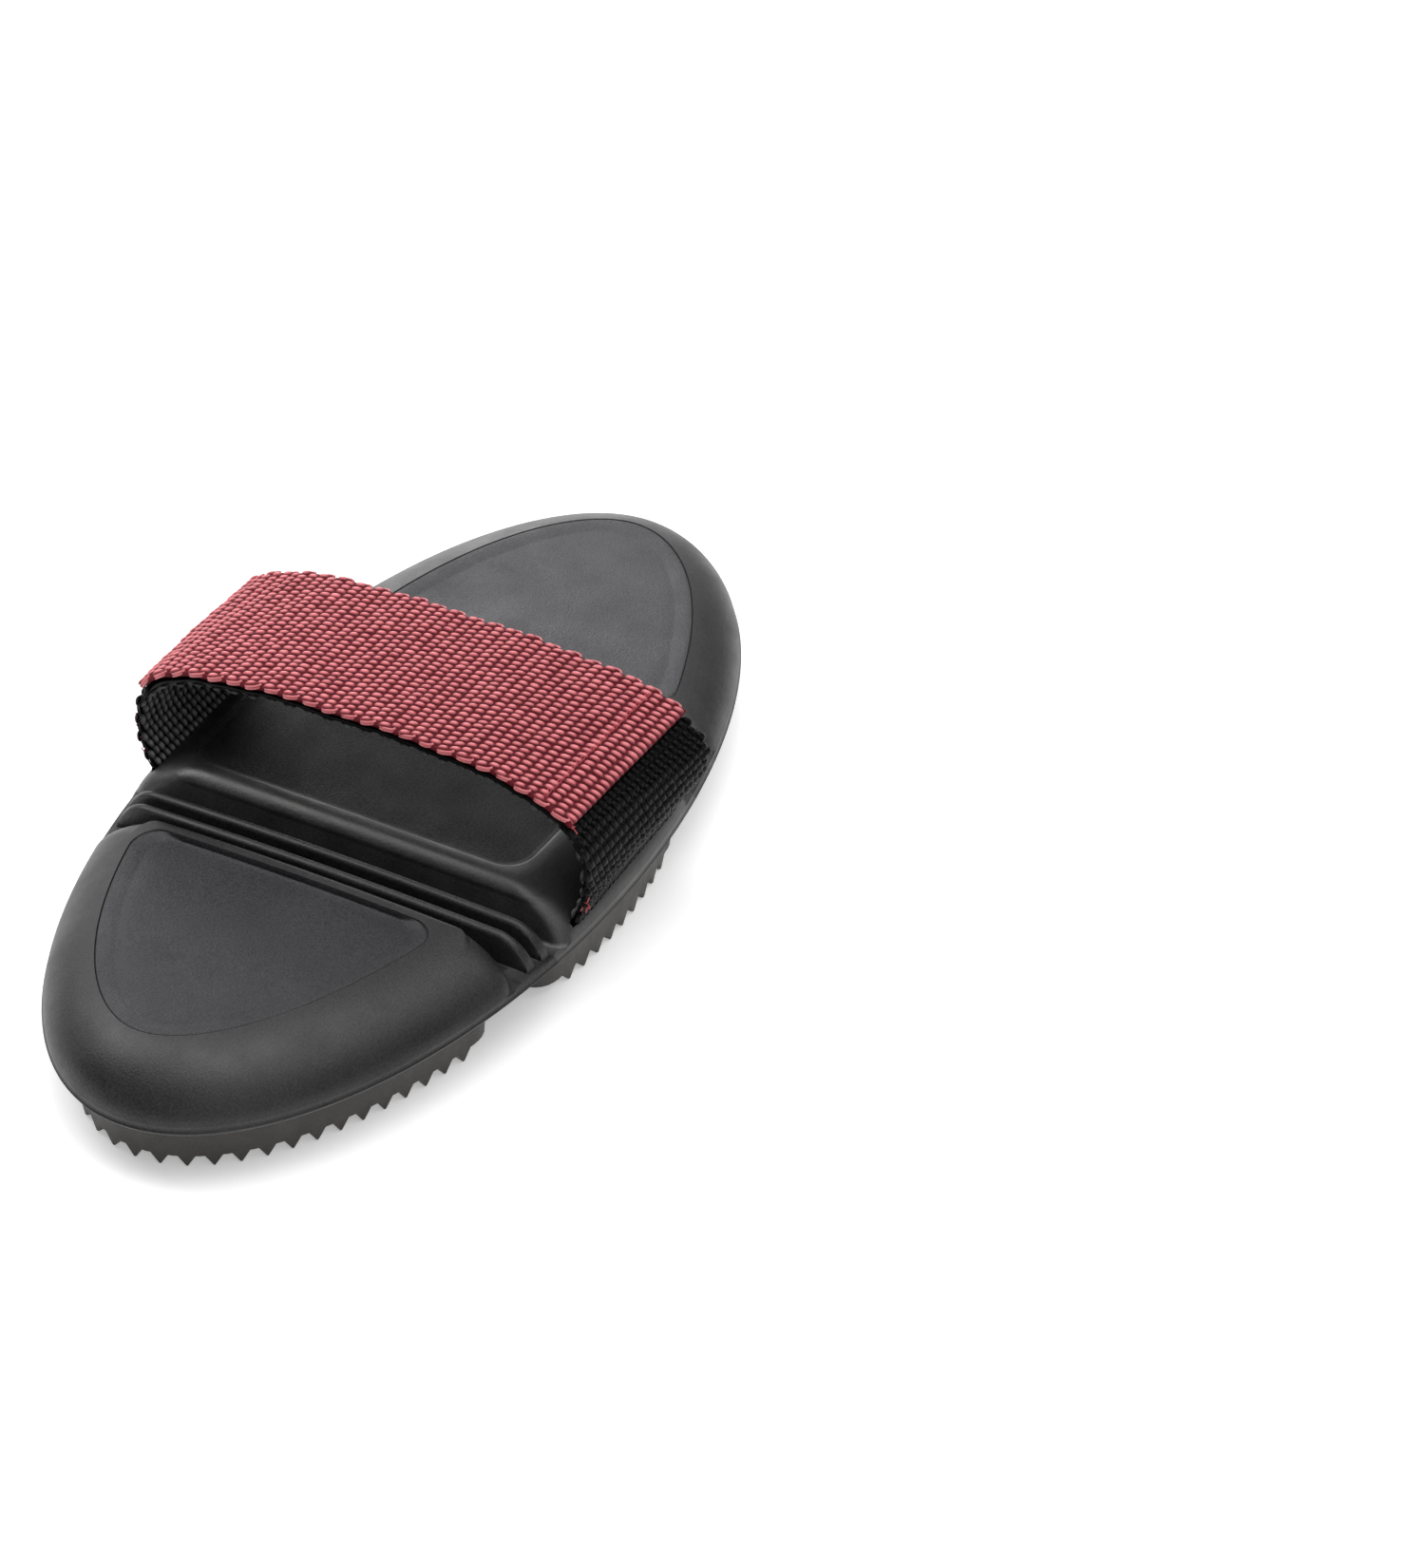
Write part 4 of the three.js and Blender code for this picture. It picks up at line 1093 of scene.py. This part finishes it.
def band_object(name, inside, outside, start, end, material, narrow=0.35):
    """The ground of one webbing: a thin band with rounded edges."""
    half = HALF_STRAP - narrow
    middle, thick = (inside + outside) / 2, (outside - inside) / 2
    section = [(half * t, outside) for t in np.linspace(-1, 1, 15)]
    section += [(half + thick * math.cos(a), middle + thick * math.sin(a)) for a in (0.9, 0, -0.9)]
    section += [(half * t, inside) for t in np.linspace(1, -1, 15)]
    section += [(-half - thick * math.cos(a), middle - thick * math.sin(a)) for a in (0.9, 0, -0.9)]
    x, height = np.array(section).T
    places = np.linspace(start, end, int((end - start) / BAND_STEP) + 1)
    shape = Shape()
    loft(shape, [on_strap(s, x, height) for s in places], ends=True)
    obj = make_object(name, shape, [material], ROUND_CREASE)
    add_uv(obj, [(s, across) for s in places for across in x])
    fill_crown(obj, 0.5)
    return obj


def weave_object(name, height, outward, start, end, material, seed, slant=1):
    """Raised yarn grains over one face of a webbing, as one mesh."""
    rng = np.random.default_rng(seed)
    columns = np.arange(math.ceil(start / COLUMN_PITCH), math.floor(end / COLUMN_PITCH) + 1)
    last = math.ceil(HALF_STRAP / ROW_PITCH)
    k, j = np.meshgrid(columns, np.arange(-last, last + 1), indexing="ij")
    x0 = (j * ROW_PITCH + (k % 2) * ROW_PITCH / 2).ravel()
    keep = np.abs(x0) < HALF_STRAP
    count = keep.sum()

    def vary(mean, spread):
        return rng.normal(mean, spread, count)[:, None, None]

    s0 = (k * COLUMN_PITCH).ravel()[keep, None, None] + vary(0, 0.05)
    x0 = x0[keep, None, None] + vary(0, 0.04)
    length = GRAIN_LENGTH / 2 * vary(1, 0.04)
    width = GRAIN_WIDTH / 2 * vary(1, 0.05)
    rise = GRAIN_HEIGHT * vary(1, 0.08)
    turn = slant * GRAIN_SLANT + vary(0, 0.05)
    a, b = np.meshgrid(GRAIN_ALONG, GRAIN_ACROSS, indexing="ij")
    bulge = np.sqrt(np.clip(1 - np.abs(a) ** 2.8, 0, 1))
    dome = (1 - np.abs(a) ** 2.4) ** 0.8 * (1 - np.abs(b) ** 2.4) ** 0.6
    along, across = a * length, b * (0.35 + 0.65 * bulge) * width
    s = np.clip(s0 + along * np.cos(turn) - across * np.sin(turn), start, end)
    x = x0 + along * np.sin(turn) + across * np.cos(turn)
    points = on_strap(s, x, height + outward * ((dome + 0.02) * rise - GRAIN_SINK))
    grid = np.arange(a.size).reshape(a.shape)
    patch = np.stack([grid[:-1, :-1], grid[:-1, 1:], grid[1:, 1:], grid[1:, :-1]], -1).reshape(-1, 4)
    if outward > 0:
        patch = patch[:, ::-1]
    shape = Shape()
    shape.add(points, (np.arange(count)[:, None, None] * a.size + patch).reshape(-1, 4).tolist())
    obj = make_object(name, shape, [material], sharp=180, outward=False)
    shift = rng.uniform(-20, 20, (count, 1, 1, 2))
    add_uv(obj, (np.stack([s, x], -1) + shift).reshape(-1, 2))
    fill_crown(obj, (dome + vary(0, 0.03)).ravel())
    return obj


def add_tube(shape, path, radius, sides=6):
    """A round thread along a path, closed at its ends."""
    along = unit(np.gradient(path, axis=0))
    first = unit(np.cross(along, TUBE_GUIDE))
    second = np.cross(along, first)
    turns = np.linspace(0, 2 * math.pi, sides + 1)[:-1, None]
    rings = [p + radius * (np.cos(turns) * f + np.sin(turns) * g) for p, f, g in zip(path, first, second)]
    loft(shape, rings, ends=True)


def selvedge_object(name, height, start, end, material, seed, size=1.0):
    """Small loops of weft along both edges, each of two strands side by side."""
    rng = np.random.default_rng(seed)
    shape = Shape()
    t = np.linspace(-1, 1, 11)
    for side in (-1, 1):
        for s in np.arange(start + 1.2, end - 1.0, LOOP_PITCH):
            bulge = rng.normal(0.7, 0.08) * size
            along = s + rng.normal(1.5, 0.08) * t * (1 + 0.2 * (1 - t * t))
            out = HALF_STRAP - 0.45 + bulge * (1 - t * t) ** 0.6 - 0.05
            for strand in (-0.21, 0.21):
                add_tube(shape, on_strap(along, side * out, height + 0.3 * t + strand), LOOP_RADIUS * size)
    obj = make_object(name, shape, [material], ROUND_CREASE)
    # A high crown gives the loops the painted highlight's lighter tone
    fill_crown(obj, 0.85)
    return obj


def stitch_object(name, place, node, seed):
    """Fine sewing threads near an end of the facing, pulled down at each stitch."""
    rng = np.random.default_rng(seed)
    top = WEBBING_THICKNESS / 2 + LAYER_GAP + FACING_THICKNESS
    shape = Shape()
    reach = HALF_STRAP - 1.2
    x = np.linspace(-reach, reach, 170)
    for strand in (-1.5, -0.5, 0.5, 1.5):
        phase = rng.uniform(0, 6, 3)
        s = place + 0.16 * strand + 0.09 * np.sin(x * 1.7 + phase[0]) + 0.05 * np.sin(x * 4.1 + phase[1])
        arched = np.abs(np.sin(np.pi * (x + 0.1 * strand) / STITCH_PITCH)) ** 0.5
        lift = top - 0.3 + 0.28 * arched + 0.04 * np.sin(x * 3.3 + phase[2])
        add_tube(shape, on_strap(s, x, lift), STITCH_RADIUS)
    obj = make_object(name, shape, [THREAD], ROUND_CREASE)
    fill_crown(obj, 0.7)
    finish_piece(obj, "pink_thread", node)


# Place along the strap, number of threads, their length and their height over the strap's centre
FRAYS = (
    (7.5, 3, 1.2, 0.3),
    (9.6, 3, 1.4, 0.3),
    (14.2, 3, 1.4, 0.4),
    (FACING_START + 0.6, 6, 1.8, 1.6),
    (FACING_END - 0.6, 9, 2.2, 1.6),
    (STRAP_LENGTH - 9.4, 12, 2.2, 0.6),
)


def loose_threads():
    """Frayed thread ends on the front edge, by the roots and at both ends of the facing."""
    rng = np.random.default_rng(13)
    shape = Shape()
    t = np.linspace(0, 1, 9)
    for place, count, length, height in FRAYS:
        for _ in range(count):
            s = place + rng.uniform(-0.9, 0.9) + t * rng.uniform(-1, 1) * length
            s += 0.25 * np.sin(t * rng.uniform(4, 9))
            out = HALF_STRAP - 0.5 + t**1.5 * rng.uniform(0.1, 0.9) - t * rng.uniform(0, 0.5)
            lift = height + rng.uniform(-0.4, 0.4) + t * rng.uniform(-0.3, 0.7)
            add_tube(shape, on_strap(s, -out, lift), FRAY_RADIUS, 5)
    obj = make_object("loose_threads", shape, [THREAD], ROUND_CREASE)
    fill_crown(obj, 0.9)
    finish_piece(obj, "pink_thread")


def finish_sheet(cloth, node, slot, pieces):
    """Attaches a webbing and its yarn to the middle, and hides the webbing's part of the CAD model."""
    finish_piece(cloth, slot, node)
    for piece in pieces:
        finish_piece(piece, slot)


def strap_objects():
    ground = WEBBING_THICKNESS / 2 - YARN_RELIEF
    yarn = ground + YARN_LIFT
    last = STRAP_LENGTH - BURIED_YARN
    webbing = band_object("strap_webbing_cloth", -ground, ground, 0, STRAP_LENGTH, BLACK, 0.8)
    pieces = [
        weave_object("webbing_yarn_left", yarn, 1, BURIED_YARN, FACING_START + 1.5, BLACK, 3),
        weave_object("webbing_yarn_right", yarn, 1, FACING_END - 1.5, last, BLACK, 4),
        weave_object("webbing_yarn_inside", -yarn, -1, BURIED_YARN, last, LIT_INSIDE_YARN, 5, slant=-1),
        selvedge_object("webbing_edge_loops_left", 0, 5, FACING_START + 1, BLACK, 6, 0.6),
        selvedge_object("webbing_edge_loops_right", 0, FACING_END - 1, STRAP_LENGTH - 5, BLACK, 11, 0.6),
    ]
    finish_sheet(webbing, "strap_webbing", "black_webbing", pieces)
    base = WEBBING_THICKNESS / 2 + LAYER_GAP
    ground = base + FACING_THICKNESS - YARN_RELIEF
    facing = band_object("strap_facing_cloth", base, ground, FACING_START, FACING_END, PINK_SHADED_GROUND)
    middle = base + FACING_THICKNESS / 2
    pieces = [
        weave_object("facing_yarn", ground + YARN_LIFT, 1, FACING_START, FACING_END, PINK, 7),
        selvedge_object("facing_edge_loops", middle, FACING_START, FACING_END, PINK, 8),
    ]
    finish_sheet(facing, "strap_facing", "pink_webbing", pieces)
    stitch_object("left_stitch_rows", FACING_START + STITCH_INSET, "left_stitches", 9)
    stitch_object("right_stitch_rows", FACING_END - STITCH_INSET, "right_stitches", 10)
    loose_threads()


# Floor, light and camera

# Lamps with their place and power, and the room's broad lights: azimuth, elevation and strength
LAMPS = (("back_left", (-63, 222, 241), 0.36), ("low_back", (283, 197, 175), 0.18))
LAMP_SIZE = 160
ROOM_LIGHTS = ((0, 90, 3.4), (300, 62, 2.9), (60, 62, 1.3), (30, 8, 2.2), (60, 8, 0.9), (225, 35, 1.3))
LIGHT_FOCUS = 14.0
FLOOR_REACH, FLOOR_DROP = 3000, 0.1


def studio():
    shape = Shape()
    shape.add(FLOOR_REACH * np.array([[-1, -1, 0], [1, -1, 0], [1, 1, 0], [-1, 1, 0]]), [[0, 1, 2, 3]])
    material, _, shader = new_material("studio_floor", (0.9, 0.9, 0.9), 0.9)
    fill_inputs(shader, Emission_Color=(1, 1, 1, 1), Emission_Strength=0.35)
    floor = make_object("studio_floor", shape, [material], outward=False)
    floor.location.z = -FLOOR_DROP * MM
    sky()
    for lamp in LAMPS:
        area_light(*lamp)
    bpy.context.scene.view_settings.view_transform = "Standard"


def sky():
    """A dim room with a few broad lights that fade into it."""
    world = bpy.data.worlds.new("studio")
    bpy.context.scene.world = world
    world.use_nodes = True
    tree = world.node_tree
    direction = tree.nodes.new("ShaderNodeTexCoord").outputs["Generated"]
    total = 0
    for azimuth, elevation, strength in ROOM_LIGHTS:
        turn, rise = math.radians(azimuth), math.radians(elevation)
        level = math.cos(rise)
        toward = (level * math.cos(turn), level * math.sin(turn), math.sin(rise))
        facing = combine(tree, "DOT_PRODUCT", direction, toward, kind="ShaderNodeVectorMath")
        front = combine(tree, "MAXIMUM", facing.outputs["Value"], 0)
        focus = combine(tree, "POWER", front.outputs[0], LIGHT_FOCUS)
        total = combine(tree, "MULTIPLY_ADD", focus.outputs[0], strength, total).outputs[0]
    fill_inputs(tree.nodes["Background"], Color=(1, 1, 1, 1), Strength=total)


def area_light(name, place, power):
    data = bpy.data.lights.new(name, "AREA")
    data.shape = "DISK"
    data.size = LAMP_SIZE * MM
    data.energy = power
    light = new_object(name, data)
    light.location = Vector(place) * MM
    light.rotation_euler = (-Vector(place)).to_track_quat("-Z", "Y").to_euler()
    light.visible_camera = False


def camera():
    data = bpy.data.cameras.new("camera")
    data.sensor_width = SENSOR
    data.lens = FOCAL_PIXELS / PHOTO_HEIGHT * SENSOR
    data.clip_start = 0.01
    data.clip_end = 20
    obj = new_object("camera", data)
    obj.location = Vector(CAMERA_AT) * MM
    obj.rotation_euler = [math.radians(a) for a in CAMERA_TURN]
    bpy.context.scene.camera = obj


camera()
studio()
lobe_object("rear_lobe_rubber", "rear", False, *REAR_PANEL, REAR_RUBBER)
lobe_object("front_lobe_rubber", "front", True, *FRONT_PANEL, RUBBER)
middle_object()
bellows_object("rear_bellows_rubber", False)
bellows_object("front_bellows_rubber", True)
strap_objects()
